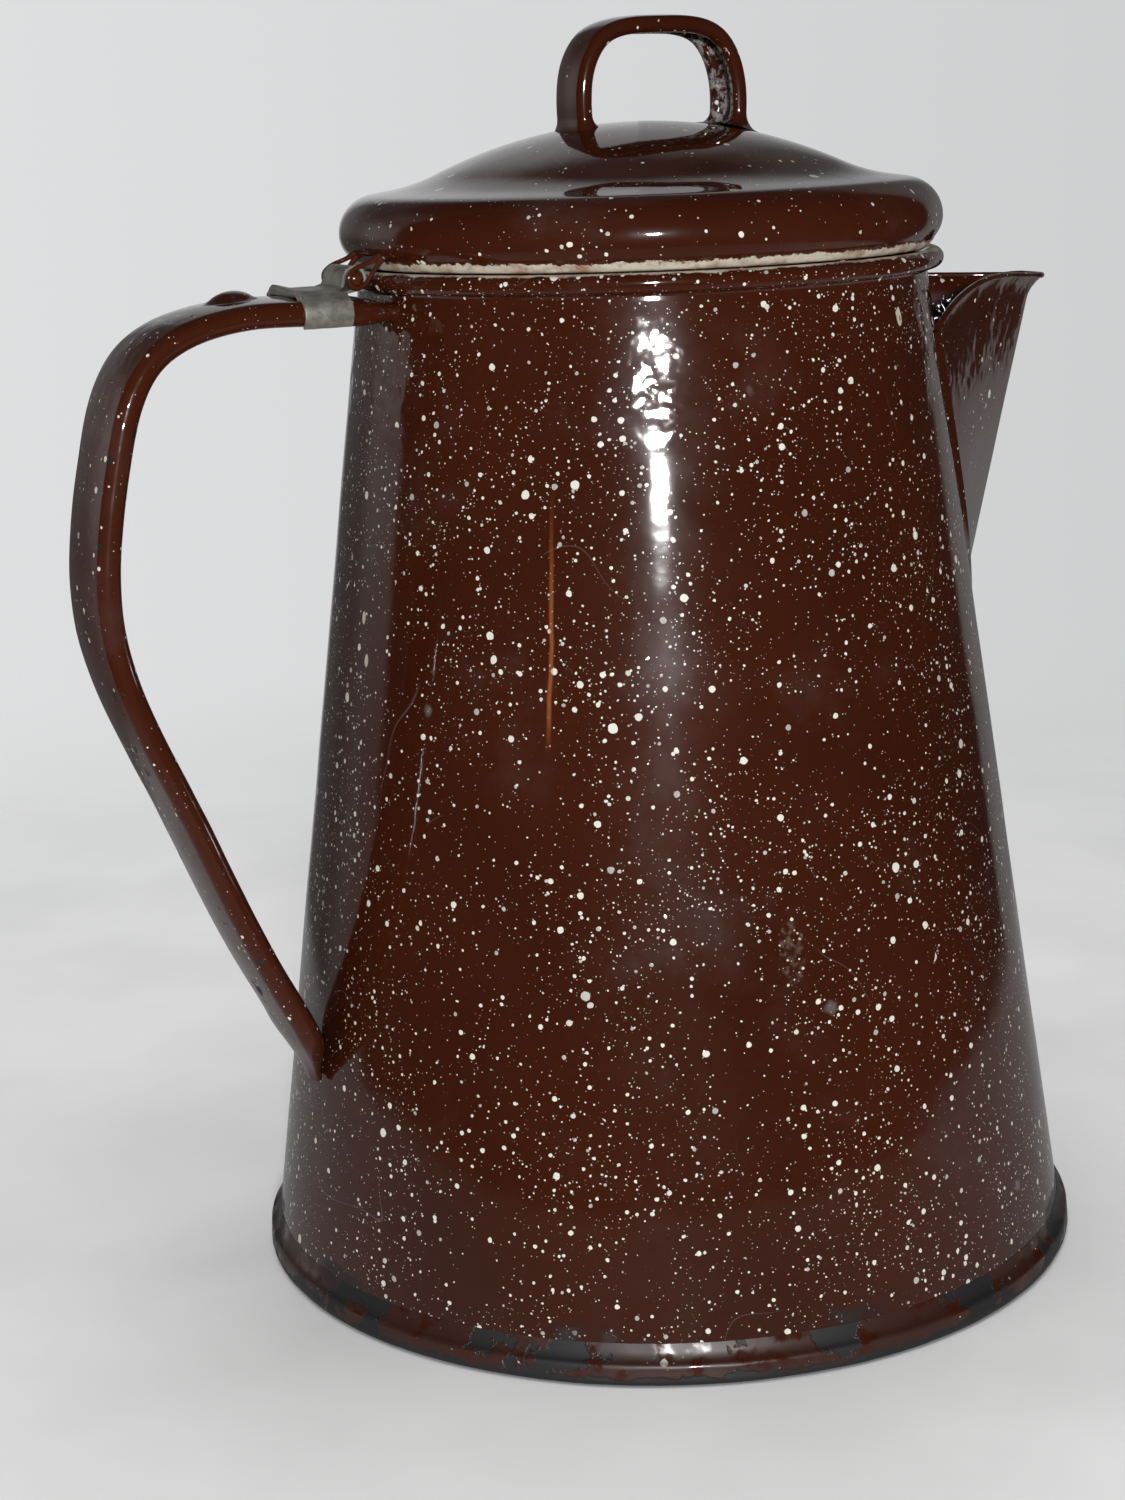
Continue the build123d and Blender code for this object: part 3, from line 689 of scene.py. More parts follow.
def build_base():
    reach = seam_high.x
    groove_start = GROOVE_MIDDLE - GROOVE_HALF
    groove_end = GROOVE_MIDDLE + GROOVE_HALF
    profile = line((0, 0), (groove_start, 0), 12)
    profile += [(groove_start + 0.4, CREASE_DEPTH), (groove_start + 0.9, GROOVE_DEPTH)]
    profile += [(groove_end - 0.9, GROOVE_DEPTH), (groove_end - 0.4, CREASE_DEPTH), (groove_end, 0)]
    profile += line((groove_end + 1.0, 0), (reach - FOOT_BEND - 0.2, 0), 4)
    profile += arc((reach - FOOT_BEND, FOOT_BEND), FOOT_BEND, -80, 0, 8)
    profile += line((reach, 2.0), (reach - 0.1, 3.6), 3)
    profile += arc((reach - 1.35, 3.7), 1.25, 5, 62, 7)
    profile += [(wall_radius(5.6) + 0.75, 5.35), (wall_radius(6.6) + 0.32, 6.5), (wall_radius(8) + 0.05, 8.0)]
    profile += [(wall_radius(8) - 0.4, 8.0), (wall_radius(1) - 0.45, 1.0)]
    profile += line((wall_radius(1) - 2, 1.0), (0, 1.0), 10)

    def dents(angle, radius, height):
        place = (80 * cos(angle), 80 * sin(angle), height * 3)
        if radius < FLAT_BASE_RADIUS:
            return 0.0
        return 0.14 * ripple(place, 14.0, 5.0) + 0.08 * ripple(place, 4.0, 2.0)

    points, faces = lathe(profile, segments=288, warp=dents)
    seam = enamel("enamel_seam", 0.12, worn_seam, redder=0.25)
    make_piece("base_seam", points, faces, seam, "pot", "base_pan")


# ---- spout ----------------------------------------------------------------

SPOUT_FOOT = 107.0
SPOUT_ROOT = 103.0
SPOUT_NOTCH = 189.0
SPOUT_TIP = 195.4
KEEL_SLOPE = 0.266
FLARE_START = 191.2
FLARE = 2.0
NOSE_LOW = 8.0
NOSE_HIGH = 7.0
NOSE_SHARE = 0.34
FAR_EDGE_DROP = 1.6
LIP_KNOTS = ((40, 183), (47, 189), (57, 194.2), (70, 197.0), (84, 196.4), (104, 194.8))
lip_line = smooth_path(LIP_KNOTS, 200)


def spout_point(side, height, lift=0.0):
    """A point of the spout's outer face: side is -1 and 1 at the wall and 0 at the keel."""
    drop = (SPOUT_NOTCH - height) / (SPOUT_NOTCH - SPOUT_ROOT)
    half = spout_high.y * (1 - drop * drop) ** 0.75
    touch = sqrt(wall_radius(height) ** 2 - half**2)
    keel = wall_radius(SPOUT_FOOT) + KEEL_SLOPE * (height - SPOUT_FOOT)
    if height > FLARE_START:
        keel += FLARE * ((height - FLARE_START) / (SPOUT_TIP - FLARE_START)) ** 1.5
    nose = NOSE_LOW + (NOSE_HIGH - NOSE_LOW) * (height - SPOUT_FOOT) / (SPOUT_TIP - SPOUT_FOOT)
    run = keel - nose - touch
    slope = atan2(half, run) - asin(min(1.0, nose / hypot(run, half)))
    share = abs(side)
    sign = 1 if side >= 0 else -1
    if share < NOSE_SHARE:
        turn = share / NOSE_SHARE * (pi / 2 - slope)
        normal = (cos(turn), sin(turn))
        x, y = keel - nose + nose * normal[0], nose * normal[1]
    else:
        normal = (sin(slope), cos(slope))
        along = (share - NOSE_SHARE) / (1 - NOSE_SHARE)
        start = (keel - nose + nose * normal[0], nose * normal[1])
        x = start[0] + (touch - start[0]) * along
        y = start[1] + (half - start[1]) * along
    return x + lift * normal[0], sign * (y + lift * normal[1]), height


def lip_height(side):
    """Height of the pouring edge over a place on the spout."""
    height = 194.0
    for _ in range(12):
        x = spout_point(side, height)[0]
        height = float(np.interp(x, lip_line[:, 0], lip_line[:, 1]))
        height -= FAR_EDGE_DROP * smooth((side - 0.15) / 0.55)
    return height


# sideways reach of the enamel fillet at the wall, and how far it stands out there
SPOUT_FILLET = ((0.5, 1.25), (1.4, 0.80), (2.6, 0.30), (4.0, -0.25))
LIP_CURL = 0.75
LIP_ROLL_RADIUS = 0.62


def build_spout():
    sides = np.concatenate((
        np.linspace(-1.0, -NOSE_SHARE, 22)[:-1],
        np.linspace(-NOSE_SHARE, NOSE_SHARE, 25),
        np.linspace(NOSE_SHARE, 1.0, 22)[1:],
    ))
    rows = 64
    outer, inner = [], []
    for row in range(rows + 1):
        level = (row / rows) ** 0.9
        for side in sides:
            top = lip_height(side)
            height = SPOUT_FOOT + (top - SPOUT_FOOT) * level
            roll = smooth((height - top + 2.4) / 2.4) ** 1.5
            lift = LIP_CURL * roll * smooth((1.0 - abs(side)) / 0.12)
            wave = 0.10 * ripple(spout_point(side, height), 16.0, 2.0)
            x, y, z = spout_point(side, height, lift + wave)
            outer.append((x, y, z))
            x, y, z = spout_point(side, height, lift + wave - SHEET)
            inner.append((x, y, z))
    columns = len(sides)
    # enamel bridges the joint to the wall in a soft hollow
    grid = np.array(outer).reshape(rows + 1, columns, 3)
    flange = []
    for row in range(rows + 1):
        for column, sign in ((0, -1), (columns - 1, 1)):
            x, y, z = grid[row, column]
            angle = abs(atan2(y, x))
            reach = wall_radius(z)
            fringe = []
            for step, rise in SPOUT_FILLET:
                bent = angle + step / reach
                out = reach + rise
                fringe.append((out * cos(bent), sign * out * sin(bent), z - 0.2 * step))
            flange.append((row, sign, fringe))
    left = {row: fringe[::-1] for row, sign, fringe in flange if sign < 0}
    right = {row: fringe for row, sign, fringe in flange if sign > 0}
    wide, thin = [], []
    inner_grid = np.array(inner).reshape(rows + 1, columns, 3)
    for row in range(rows + 1):
        wide += left[row] + [tuple(p) for p in grid[row]] + right[row]
        hidden = [(p[0] * 0.985, p[1] * 0.985, p[2]) for p in left[row]]
        hidden_right = [(p[0] * 0.985, p[1] * 0.985, p[2]) for p in right[row]]
        thin += hidden + [tuple(p) for p in inner_grid[row]] + hidden_right
    full = columns + 2 * len(SPOUT_FILLET)
    # the rolled edge: one middle row rounds it over
    crown = []
    for column in range(full):
        out = np.array(wide[rows * full + column])
        back = np.array(thin[rows * full + column])
        middle = (out + back) / 2
        crown.append((middle[0], middle[1], middle[2] + 0.42))
    rings = []
    for row in range(rows + 1):
        rings.append(wide[row * full:(row + 1) * full])
    rings.append(crown)
    for row in range(rows, -1, -1):
        rings.append(thin[row * full:(row + 1) * full])
    points = [point for ring in rings for point in ring]
    faces = grid_faces(len(rings), full, wrap_rows=True)
    material = enamel("enamel_spout", 0.28)
    make_piece("spout_trough", points, faces, material, "pot", "spout", crease=70)
    roll = []
    for side in np.linspace(-0.97, 0.97, 90):
        x, y, z = spout_point(side, lip_height(side), 0.45)
        roll.append((x, y, z + 0.1))
    points, faces = skin(tube(roll, LIP_ROLL_RADIUS))
    make_piece("spout_rolled_lip", points, faces, material, "pot")


# ---- handle ---------------------------------------------------------------

HANDLE_GRIP = 198.3
HANDLE_KNOTS = (
    (-55.5, 197.6), (-72, HANDLE_GRIP), (-89, HANDLE_GRIP), (-105.6, 191.8), (-113.7, 173), (-116.8, 142),
    (-105.1, 107.7), (-89, 69.6), (-82.0, 54.6), (-79.4, 45.6),
)
CROWN_RISE = 0.5
THUMB_X = -87.0
THUMB_RADIUS = 4.6
THUMB_RISE = 1.7


def strap_outline(half, edge, crown, sheet, across=26, round_steps=22):
    """A strap rolled over at both edges, as (sideways, outward) points round the section."""
    hang = asin((edge - sheet) / edge)
    top = [(y, edge + crown * (1 - (y / half) ** 2)) for y in np.linspace(-half, half, across)]
    right = arc((half, 0), edge, 90, -180 - np.degrees(hang) + 4, round_steps)[1:]
    inner_half = half - edge * cos(hang)
    below = [
        (y, edge - sheet + crown * (1 - (y / half) ** 2))
        for y in np.linspace(inner_half, -inner_half, across)
    ]
    left = arc((-half, 0), edge, np.degrees(hang) - 4, -270, round_steps)[:-1]
    return top + right + below[1:-1] + left


def fattened(outline, amount):
    """The outline pushed out along its own normals, as where enamel pools at a joint."""
    ring = np.array(outline)
    ahead = np.roll(ring, -1, axis=0) - np.roll(ring, 1, axis=0)
    normal = np.column_stack((-ahead[:, 1], ahead[:, 0]))
    normal /= np.maximum(np.linalg.norm(normal, axis=1)[:, None], 1e-9)
    centre = ring.mean(axis=0)
    if np.sum((ring - centre) * normal) < 0:
        normal = -normal
    return ring + normal * amount


def pool(distance, radius):
    """Growth of a section near a joint: a quarter-round fillet."""
    if distance >= radius:
        return 0.0
    return radius - sqrt(radius**2 - (radius - distance) ** 2)


def build_handle():
    path = smooth_path(HANDLE_KNOTS, 260)
    length = np.concatenate(([0.0], np.cumsum(np.linalg.norm(np.diff(path, axis=0), axis=1))))
    rings = []
    for index, (x, z) in enumerate(path):
        before = path[max(0, index - 1)]
        after = path[min(len(path) - 1, index + 1)]
        tangent = (after - before) / np.linalg.norm(after - before)
        outward = np.array((tangent[1], -tangent[0]))
        from_top = length[index]
        from_foot = length[-1] - length[index]
        edge = 1.25 + (HANDLE_EDGE - 1.25) * smooth(from_top / 9.0)
        edge = min(edge, 0.75 + (HANDLE_EDGE - 0.75) * smooth(from_foot / 13.0))
        half = 2.2 + (HANDLE_HALF - 2.2) * smooth(from_foot / 12.0) ** 0.8
        half -= 0.9 * (1 - smooth(from_top / 9.0))
        outline = np.array(strap_outline(half, edge, CROWN_RISE, min(SHEET, edge * 0.9)))
        outline = fattened(outline, 0.9 * pool(from_top, 2.6))
        ring = []
        for side, out in outline:
            px = x + outward[0] * out
            pz = z + outward[1] * out
            away = hypot(px - THUMB_X, side) / THUMB_RADIUS
            if pz > 200 and away < 1:
                pz += THUMB_RISE * (1 - away**2) ** 0.8
            lean = 1 - smooth(from_top / 8.0)
            px += lean * (wall_radius(z) - sqrt(wall_radius(pz) ** 2 - side**2))
            wobble = 0.07 * ripple((px, side, pz), 9.0, 6.0)
            ring.append((px + outward[0] * wobble, side, pz + outward[1] * wobble))
        rings.append(ring)
    points, faces = skin(rings)
    material = enamel("enamel_handle", 0.22, worn_handle, redder=0.25)
    make_piece("handle_strap", points, faces, material, "pot", "handle", crease=60)


# ---- hinge clip -----------------------------------------------------------

CLIP_SHEET = 0.55
CLIP_REAR = clip_low.x + 0.1
CLIP_FRONT = -66.7
LEAF_HALF = 8.9
LOWER_LEAF = 201.6
UPPER_LEAF = 202.3
BARREL_HALF = 5.3
BARREL_MIDDLE = 2.15
HEM_RADIUS = 0.35
HEM_OPENING = 0.85
HEM_STEPS = 8
DROOP_START = 6.3
DROOP_RUN = 2.6
UPPER_DROOP = 1.5
LOWER_DROOP = 0.45
EAR_GAP = 0.36


def build_clip():
    """A tin strip folded back on itself at the rear and rolled into a barrel in front."""
    folded = line((CLIP_REAR + 0.9, LOWER_LEAF), (hinge_x - 3.4, LOWER_LEAF), 14)
    folded += [(hinge_x - 1.8, LOWER_LEAF + 0.12)]
    folded += arc((hinge_x, hinge_z), BARREL_MIDDLE, -90, 172, 30)
    folded += [(hinge_x - 2.25, UPPER_LEAF + 1.3), (hinge_x - 2.7, UPPER_LEAF + 0.5)]
    folded += [(hinge_x - 3.5, UPPER_LEAF + 0.08)]
    folded += line((hinge_x - 4.6, UPPER_LEAF), (CLIP_REAR + 0.8, UPPER_LEAF), 12)
    folded += arc((CLIP_REAR + HEM_RADIUS, (LOWER_LEAF + UPPER_LEAF) / 2), HEM_RADIUS, 90, 262, HEM_STEPS)
    hem_start = len(folded) - HEM_STEPS
    rings = []
    for index, (x, z) in enumerate(folded):
        narrow = smooth((x + 68.4) / 1.6)
        half = LEAF_HALF + (BARREL_HALF - LEAF_HALF) * narrow
        upper = z > LOWER_LEAF + 0.2
        row = []
        for step in np.linspace(-1, 1, 29):
            y = half * step
            dent = 0.06 * ripple((x, y, z), 5.0, 4.0)
            droop = (UPPER_DROOP if upper else LOWER_DROOP) * (1 - narrow)
            droop *= smooth((abs(y) - DROOP_START) / DROOP_RUN)
            # the hem gapes at the far rear corner
            gape = HEM_OPENING * smooth((step + 1) / 2) * smooth((CLIP_REAR + 4.0 - x) / 4.0)
            lift = gape if upper and index < hem_start + 6 else 0.0
            row.append((x, y, z + dent + lift - droop))
        rings.append(row)
    points = [point for ring in rings for point in ring]
    faces = grid_faces(len(rings), 29)
    clip = make_piece("clip_leaf", points, faces, tin, "pot", "hinge_clip")
    thicken(clip, CLIP_SHEET)
    build_clip_tabs()


def build_clip_tabs():
    """The two ears of the clip, wrapped tightly round the rolled edges of the handle."""
    for name, side in (("clip_ear_near", -1), ("clip_ear_far", 1)):
        rows = []
        for x in np.linspace(CLIP_REAR, CLIP_FRONT, 24):
            edge_in = 0.16 * ripple((x, side * 4, 0), 3.0, 2.0)
            wrap = [(side * (LEAF_HALF - 2.4), 201.95), (side * (LEAF_HALF - 0.9), 201.70)]
            for angle in np.radians(np.linspace(76, -62 + 10 * edge_in, 20)):
                reach = HANDLE_EDGE + EAR_GAP + 0.08 * ripple((x, angle * 3, side), 2.5, 9.0)
                across = side * (HANDLE_HALF + reach * cos(angle))
                wrap.append((across, HANDLE_GRIP + reach * sin(angle)))
            rows.append([(x + edge_in, y, z) for y, z in wrap])
        points = [point for row in rows for point in row]
        faces = grid_faces(len(rows), len(rows[0]))
        ear = make_piece(name, points, faces, tin, "pot")
        thicken(ear, CLIP_SHEET)


def thicken(piece, sheet):
    """Gives a folded surface its sheet thickness, with softened edges."""
    solid = piece.modifiers.new("sheet", "SOLIDIFY")
    solid.thickness = sheet * MM
    solid.offset = 0.0
    soft = piece.modifiers.new("soft_edges", "BEVEL")
    soft.width = 0.12 * MM
    soft.segments = 2
    soft.limit_method = "ANGLE"
    settle(piece)
    piece.data.polygons.foreach_set("use_smooth", [True] * len(piece.data.polygons))


# ---- hinge wire -----------------------------------------------------------

STAPLE_HALF = 6.5
EYE_BEND = 1.75
EYE_WIRE = 0.46
STAPLE_WIRE = 1.1
WIRE_LUG = (-59.0, 207.8)


def build_wire():
    """The staple fused to the lid: a bar in the barrel with a hairpin eye at each end."""
    bar_half = STAPLE_HALF + 0.45
    path = [(hinge_x, y, hinge_z) for y in np.linspace(-bar_half, bar_half, 60)]
    radii = []
    for _, y, _ in path:
        to_end = bar_half - abs(y)
        # a flattened head fills the eye, beyond the barrel
        head = STAPLE_WIRE + 0.25 * smooth((abs(y) - BARREL_HALF - 0.3) / 0.4)
        radii.append(head * sqrt(max(0.02, 1 - (1 - min(1.0, to_end / 0.6)) ** 2)))
    points, faces = skin(tube(path, np.array(radii)))
    material = enamel("enamel_wire", 0.08, redder=0.6)
    make_piece("hinge_bar", points, faces, material, "lid", "hinge_wire")
    lug = np.array(WIRE_LUG)
    centre = np.array((hinge_x, hinge_z))
    along = (lug - centre) / np.linalg.norm(lug - centre)
    aside = np.array((-along[1], along[0]))
    for name, side in (("hinge_eye_near", -1), ("hinge_eye_far", 1)):
        y = side * STAPLE_HALF
        knots = [lug + along * 3.2 + aside * 0.3, lug + along * 0.4 + aside * 0.42]
        knots.append(lug - along * 1.8 + aside * 0.75)
        for angle in np.radians((85, 130, 180, 230, 275)):
            knots.append(centre + EYE_BEND * (cos(angle) * along + sin(angle) * aside))
        knots.append(lug - along * 1.8 - aside * 0.75)
        knots += [lug + along * 0.4 - aside * 0.42, lug + along * 3.2 - aside * 0.3]
        flat = smooth_path(knots, 72)
        path = [(x, y, z) for x, z in flat]
        ends = np.array([0.45 * (1 - smooth(min(k, 71 - k) / 16)) for k in range(72)])
        points, faces = skin(tube(path, EYE_WIRE + ends))
        make_piece(name, points, faces, material, "lid")


# ---- lid ------------------------------------------------------------------

CROWN_BEND = 96.0
CROWN_ANGLE = 25.0
FLARE_BEND = 36.0
BRIM_ANGLE = 9.0
BRIM_LENGTH = 3.7
SHOULDER_BEND = 7.6
TUCK_BEND = 5.8
TUCK_ANGLE = 35.0
LIP_DROP = 2.7
LIP_BEND = 1.1
SHELF_WIDTH = 0.9
SKIRT_BEND = 1.3
SKIRT_DEPTH = 6.5
LIP_HEIGHT = 205.2


def lid_profile(inset):
    """The lid's face from its crown to the foot of its skirt, made of arcs and straight runs."""
    place = np.array((0.0, lid_high.z - inset))
    heading = 0.0
    points = [tuple(place)]
    runs = (
        (CROWN_BEND - inset, -CROWN_ANGLE, 30), (FLARE_BEND + inset, CROWN_ANGLE - BRIM_ANGLE, 14),
        (BRIM_LENGTH, None, 4), (SHOULDER_BEND - inset, BRIM_ANGLE - 90, 18),
        (TUCK_BEND - inset, -TUCK_ANGLE, 9), (LIP_DROP, None, 9), (LIP_BEND - inset, TUCK_ANGLE - 90, 8),
        (SHELF_WIDTH, None, 3), (SKIRT_BEND + inset, 90, 8), (SKIRT_DEPTH, None, 6),
    )
    for size, turn, steps in runs:
        for _ in range(steps):
            if turn is None:
                place = place + size / steps * np.array((cos(heading), sin(heading)))
            else:
                bend = radians(turn) / steps
                chord = 2 * size * sin(abs(bend) / 2)
                middle = heading + bend / 2
                place = place + chord * np.array((cos(middle), sin(middle)))
                heading += bend
            points.append(tuple(place))
    return points


outer_lid = lid_profile(0.0)
SKIRT_RADIUS = outer_lid[-1][0]


def dome_height(radius):
    """Height of the lid's outer face at a distance from the axis, on the dome."""
    rising = outer_lid[:48]
    return float(np.interp(radius, [p[0] for p in rising], [p[1] for p in rising]))


def build_lid():
    profile = outer_lid + lid_profile(SHEET)[::-1]

    def warp(angle, radius, height):
        if radius < 1.0:
            return 0.0
        place = (radius * cos(angle), radius * sin(angle), height)
        dent = 0.14 * ripple(place, 24.0, 12.0) * smooth(radius / 20)
        ring = smooth((LIP_HEIGHT + 2.0 - height) / 0.8) * smooth((radius - 56.2) / 0.8)
        crumb = ring * (0.20 * ripple(place, 1.7, 1.0) + 0.16 * ripple(place, 0.8, 5.0))
        return dent + crumb

    points, faces = lathe(profile, segments=360, warp=warp)
    make_piece("lid_dome", points, faces, enamel("enamel_lid", 0.24, worn_lip), "lid", "lid_shell")


LOOP_KNOTS = (
    (-17.0, 229.2), (-16.8, 240), (-13.3, 246.8), (0, 249.6), (13.3, 246.8), (16.8, 240), (17.0, 229.2),
)


def build_loop():
    knots = [(LOOP_CENTRE + x, z) for x, z in LOOP_KNOTS]
    path = smooth_path(knots, 150)
    length = np.concatenate(([0.0], np.cumsum(np.linalg.norm(np.diff(path, axis=0), axis=1))))
    rings, inner = [], []
    for index, (x, z) in enumerate(path):
        before = path[max(0, index - 1)]
        after = path[min(len(path) - 1, index + 1)]
        tangent = (after - before) / np.linalg.norm(after - before)
        outward = np.array((-tangent[1], tangent[0]))
        to_lid = min(length[index], length[-1] - length[index])
        outline = np.array(strap_outline(LOOP_HALF, LOOP_EDGE, 0.25, SHEET, across=14, round_steps=18))
        grown = fattened(outline, pool(to_lid, 3.2))
        lean = 1 - smooth(to_lid / 7.0)
        ring = []
        for (side, out), (_, plain) in zip(grown, outline):
            px = x + outward[0] * out
            pz = z + outward[1] * out
            pz += lean * (dome_height(hypot(px, side)) - dome_height(hypot(x, 0)))
            wobble = 0.05 * ripple((px, side, pz), 6.0, 3.0)
            ring.append((px + outward[0] * wobble, side + wobble, pz))
            inner.append(1.0 if plain < LOOP_EDGE - 0.5 and abs(side) < LOOP_HALF + 0.4 else 0.0)
        rings.append(ring)
    points, faces = skin(rings)
    material = enamel("enamel_loop", 0.14, worn_loop)
    loop = make_piece("lid_handle_loop", points, faces, material, "lid", "lid_loop", crease=60)
    mark = loop.data.attributes.new("inner", "FLOAT", "POINT")
    values = np.zeros(len(loop.data.vertices), np.float32)
    values[:len(inner)] = inner[:len(values)]
    mark.data.foreach_set("value", values)


# ---- insert ---------------------------------------------------------------

def dress_insert():
    """Pump stem, basket and spreader keep their CAD shape and get spun aluminium."""
    metal = spun_aluminium()
    for node in ("pump_tube", "pump_bell", "basket_stop", "basket_cup", "basket_sleeve", "basket_cover"):
        piece = frame["nodes"][node]
        piece.data.materials.clear()
        piece.data.materials.append(metal)


# ---- stage, light and camera ----------------------------------------------

VIEW_AZIMUTH = -27.5
CAMERA_DISTANCE = 552.9
CAMERA_HEIGHT = 235.4
CAMERA_PITCH = 13.44
CAMERA_YAW = -2.00
CAMERA_ROLL = -2.07
CAMERA_LENS = 65.06


def toward_camera(distance, height, sideways=0.0):
    """A place in front of the pot as the camera sees it. Sideways is to the picture's right."""
    turn = radians(VIEW_AZIMUTH)
    x = sin(turn) * distance + cos(turn) * sideways
    y = -cos(turn) * distance + sin(turn) * sideways
    return Vector((x, y, height)) * MM


FLOOR_REACH = 1600
MIRRORED_REACH = 270.0
FADE_START = 140.0
FADE_END = 620.0


def build_stage():
    """A pale floor that fades into the backdrop. In reflections only the part near the pot shows, as a glowing
    surface: a painted reflection of a lit floor, dimmer towards the camera.
    """
    shader = Shader("stage_floor")
    grain = shader.noise(70.0, detail=3.0)
    base = shader.mix(shader.ramp(grain, 0.3, 0.7), (0.60, 0.602, 0.60), (0.66, 0.662, 0.66))
    material = shader.finish(base=base, roughness=0.75, specular=0.2)
    tree = shader.tree
    toward = shader.add("ShaderNodeVectorMath", {0: shader.place, 1: toward_camera(1 / MM, 0)},
                        operation="DOT_PRODUCT").outputs["Value"]
    away = shader.add("ShaderNodeVectorMath", {0: shader.place}, operation="LENGTH").outputs["Value"]
    near = shader.ramp(away, MIRRORED_REACH + 80, MIRRORED_REACH)
    # painted reflection: in glossy rays the floor near the pot glows instead of being lit
    glow = shader.add("ShaderNodeEmission", {"Strength": shader.ramp(toward, 20.0, 180.0, 0.29, 0.16)})
    clear = tree.nodes.new("ShaderNodeBsdfTransparent")
    mirrored = shader.add("ShaderNodeMixShader", {"Fac": near, 1: clear.outputs[0], 2: glow.outputs[0]})
    path = tree.nodes.new("ShaderNodeLightPath")
    blend = shader.add("ShaderNodeMixShader", {"Fac": path.outputs["Is Glossy Ray"], 2: mirrored.outputs[0]})
    tree.links.new(shader.surface.outputs[0], blend.inputs[1])
    fading = shader.product(path.outputs["Is Camera Ray"], shader.ramp(away, FADE_START, FADE_END))
    faded = shader.add("ShaderNodeMixShader", {"Fac": fading, 1: blend.outputs[0], 2: clear.outputs[0]})
    tree.links.new(faded.outputs[0], tree.nodes["Material Output"].inputs["Surface"])
    rings = [arc((0, 0), reach, 0, 350, 36) for reach in (FLOOR_REACH, 500, 60)]
    points = [(x, y, 0.0) for ring in rings for x, y in ring]
    faces = grid_faces(len(rings), 36, wrap_columns=True) + [tuple(range(72, 108))]
    mesh = bpy.data.meshes.new("stage_floor")
    mesh.from_pydata((np.asarray(points) * MM).tolist(), [], faces)
    mesh.materials.append(material)
    floor = bpy.data.objects.new("stage_floor", mesh)
    bpy.context.scene.collection.objects.link(floor)
    face_outwards(floor)
    return floor


def area_light(name, place, target, width, height, power, only=None, mirrored=True):
    """A rectangular lamp. only limits it to some objects; mirrored keeps it in reflections."""
    light = bpy.data.lights.new(name, "AREA")
    light.shape = "RECTANGLE"
    light.size = width * MM
    light.size_y = height * MM
    light.energy = power
    lamp = bpy.data.objects.new(name, light)
    lamp.location = place
    lamp.rotation_mode = "QUATERNION"
    lamp.rotation_quaternion = (target - place).to_track_quat("-Z", "Y")
    lamp.visible_glossy = mirrored
    lamp.visible_camera = False
    bpy.context.scene.collection.objects.link(lamp)
    if only:
        receivers = bpy.data.collections.new(name + "_receivers")
        for piece in only:
            receivers.objects.link(piece)
        lamp.light_linking.receiver_collection = receivers
    return lamp


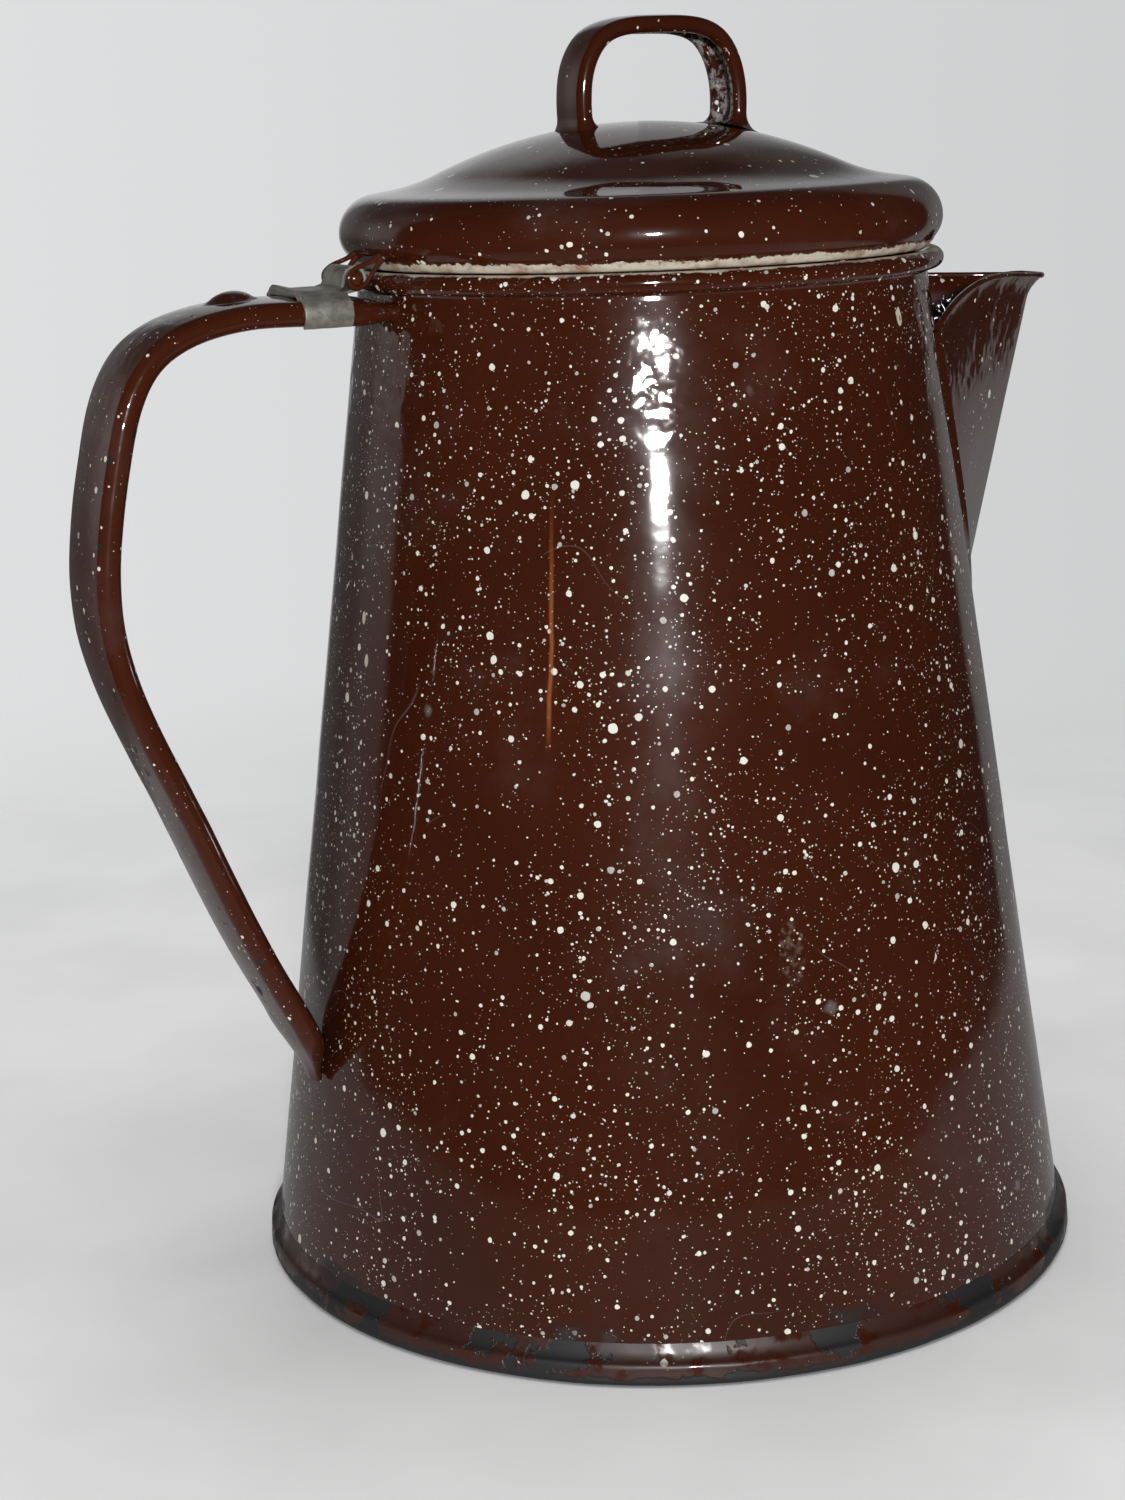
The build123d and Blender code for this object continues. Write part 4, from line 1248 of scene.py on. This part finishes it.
def build_world():
    """A pale backdrop. In reflections: dark in front, pale walls beside and behind, dark above."""
    world = bpy.data.worlds.new("studio")
    bpy.context.scene.world = world
    world.use_nodes = True
    tree = world.node_tree

    def node(kind, **inputs):
        made = tree.nodes.new(kind)
        for key, value in inputs.items():
            socket = made.inputs[int(key[1:]) if key[0] == "_" else key.replace("_", " ")]
            if isinstance(value, bpy.types.NodeSocket):
                tree.links.new(value, socket)
            else:
                socket.default_value = value
        return made

    def math(operation, a, b=0.0):
        made = node("ShaderNodeMath", _0=a, _1=b)
        made.operation = operation
        return made.outputs[0]

    def ease(value, start, end, low, high):
        made = node("ShaderNodeMapRange", Value=value, From_Min=start, From_Max=end, To_Min=low, To_Max=high)
        made.interpolation_type = "SMOOTHSTEP"
        return made.outputs["Result"]

    direction = tree.nodes.new("ShaderNodeTexCoord").outputs["Generated"]
    parts = node("ShaderNodeSeparateXYZ", Vector=direction).outputs
    camera_x, camera_y, _ = toward_camera(1 / MM, 0)
    ahead = math("ADD", math("MULTIPLY", parts[0], camera_x), math("MULTIPLY", parts[1], camera_y))
    aside = math("SUBTRACT", math("MULTIPLY", parts[1], camera_x), math("MULTIPLY", parts[0], camera_y))
    # degrees round from the camera: positive on the picture's right
    turned = math("MULTIPLY", math("ARCTAN2", aside, ahead), 180 / pi)
    rise = math("MULTIPLY", math("ARCSINE", parts[2]), 180 / pi)
    left = math("ADD", ease(turned, -101, -107, 0.0, 0.20), ease(turned, -118, -135, 0.0, -0.12))
    right = math("ADD", ease(turned, 136, 142, 0.0, 0.25), ease(turned, 148, 165, 0.0, -0.09))
    behind = math("ADD", ease(turned, -158, -170, 0.0, 0.45), ease(turned, 168, 176, 0.0, 0.35))
    left = math("MULTIPLY", left, math("MULTIPLY", ease(rise, -6, 4, 1.0, 2.4), ease(rise, 12, 26, 1.0, 0.40)))
    right = math("MULTIPLY", right, ease(rise, 2, 14, 1.0, 0.7))
    walls = math("ADD", math("ADD", left, right), behind)
    lit = math("MULTIPLY", walls, ease(rise, 32, 46, 1.0, 0.10))
    mirrored = math("ADD", lit, 0.018)
    seen = ease(aside, -0.4, 0.4, 0.76, 0.60)
    path = tree.nodes.new("ShaderNodeLightPath")
    strength = node("ShaderNodeMix", Factor=path.outputs["Is Camera Ray"], A=mirrored, B=seen)
    background = tree.nodes["Background"]
    background.inputs["Color"].default_value = (0.985, 0.99, 1.0, 1.0)
    tree.links.new(strength.outputs["Result"], background.inputs["Strength"])


def build_lights(floor):
    """A flash beside the lens, broad fill that stays out of reflections, and light on the floor."""
    aim = Vector((0, 0, 0.13))
    area_light("flash", toward_camera(2000, 466, 150), aim, 150, 105, 37.0)
    area_light("fill_left", toward_camera(700, 500, -1100), aim, 900, 900, 1.6, mirrored=False)
    area_light("fill_right", toward_camera(700, 500, 1100), aim, 900, 900, 1.6, mirrored=False)
    area_light("floor_light", toward_camera(0, 1500), Vector((0, 0, 0)), 1600, 1600, 26.0,
               only=[floor], mirrored=False)


def build_camera():
    lens = bpy.data.cameras.new("photo_view")
    lens.sensor_fit = "AUTO"
    lens.sensor_width = 36.0
    lens.lens = CAMERA_LENS
    lens.clip_start = 0.01
    camera = bpy.data.objects.new("photo_view", lens)
    turn = Matrix.Rotation(radians(VIEW_AZIMUTH - CAMERA_YAW), 4, "Z")
    tilt = Matrix.Rotation(radians(90 - CAMERA_PITCH), 4, "X")
    roll = Matrix.Rotation(radians(CAMERA_ROLL), 4, "Z")
    place = Matrix.Translation(toward_camera(CAMERA_DISTANCE, CAMERA_HEIGHT))
    camera.matrix_world = place @ turn @ tilt @ roll
    bpy.context.scene.collection.objects.link(camera)
    bpy.context.scene.camera = camera


tin = tin_plate()
build_wall()
build_base()
build_spout()
build_handle()
build_clip()
build_wire()
build_lid()
build_loop()
dress_insert()
floor = build_stage()
build_world()
build_lights(floor)
build_camera()
bpy.context.scene.view_settings.view_transform = "Standard"
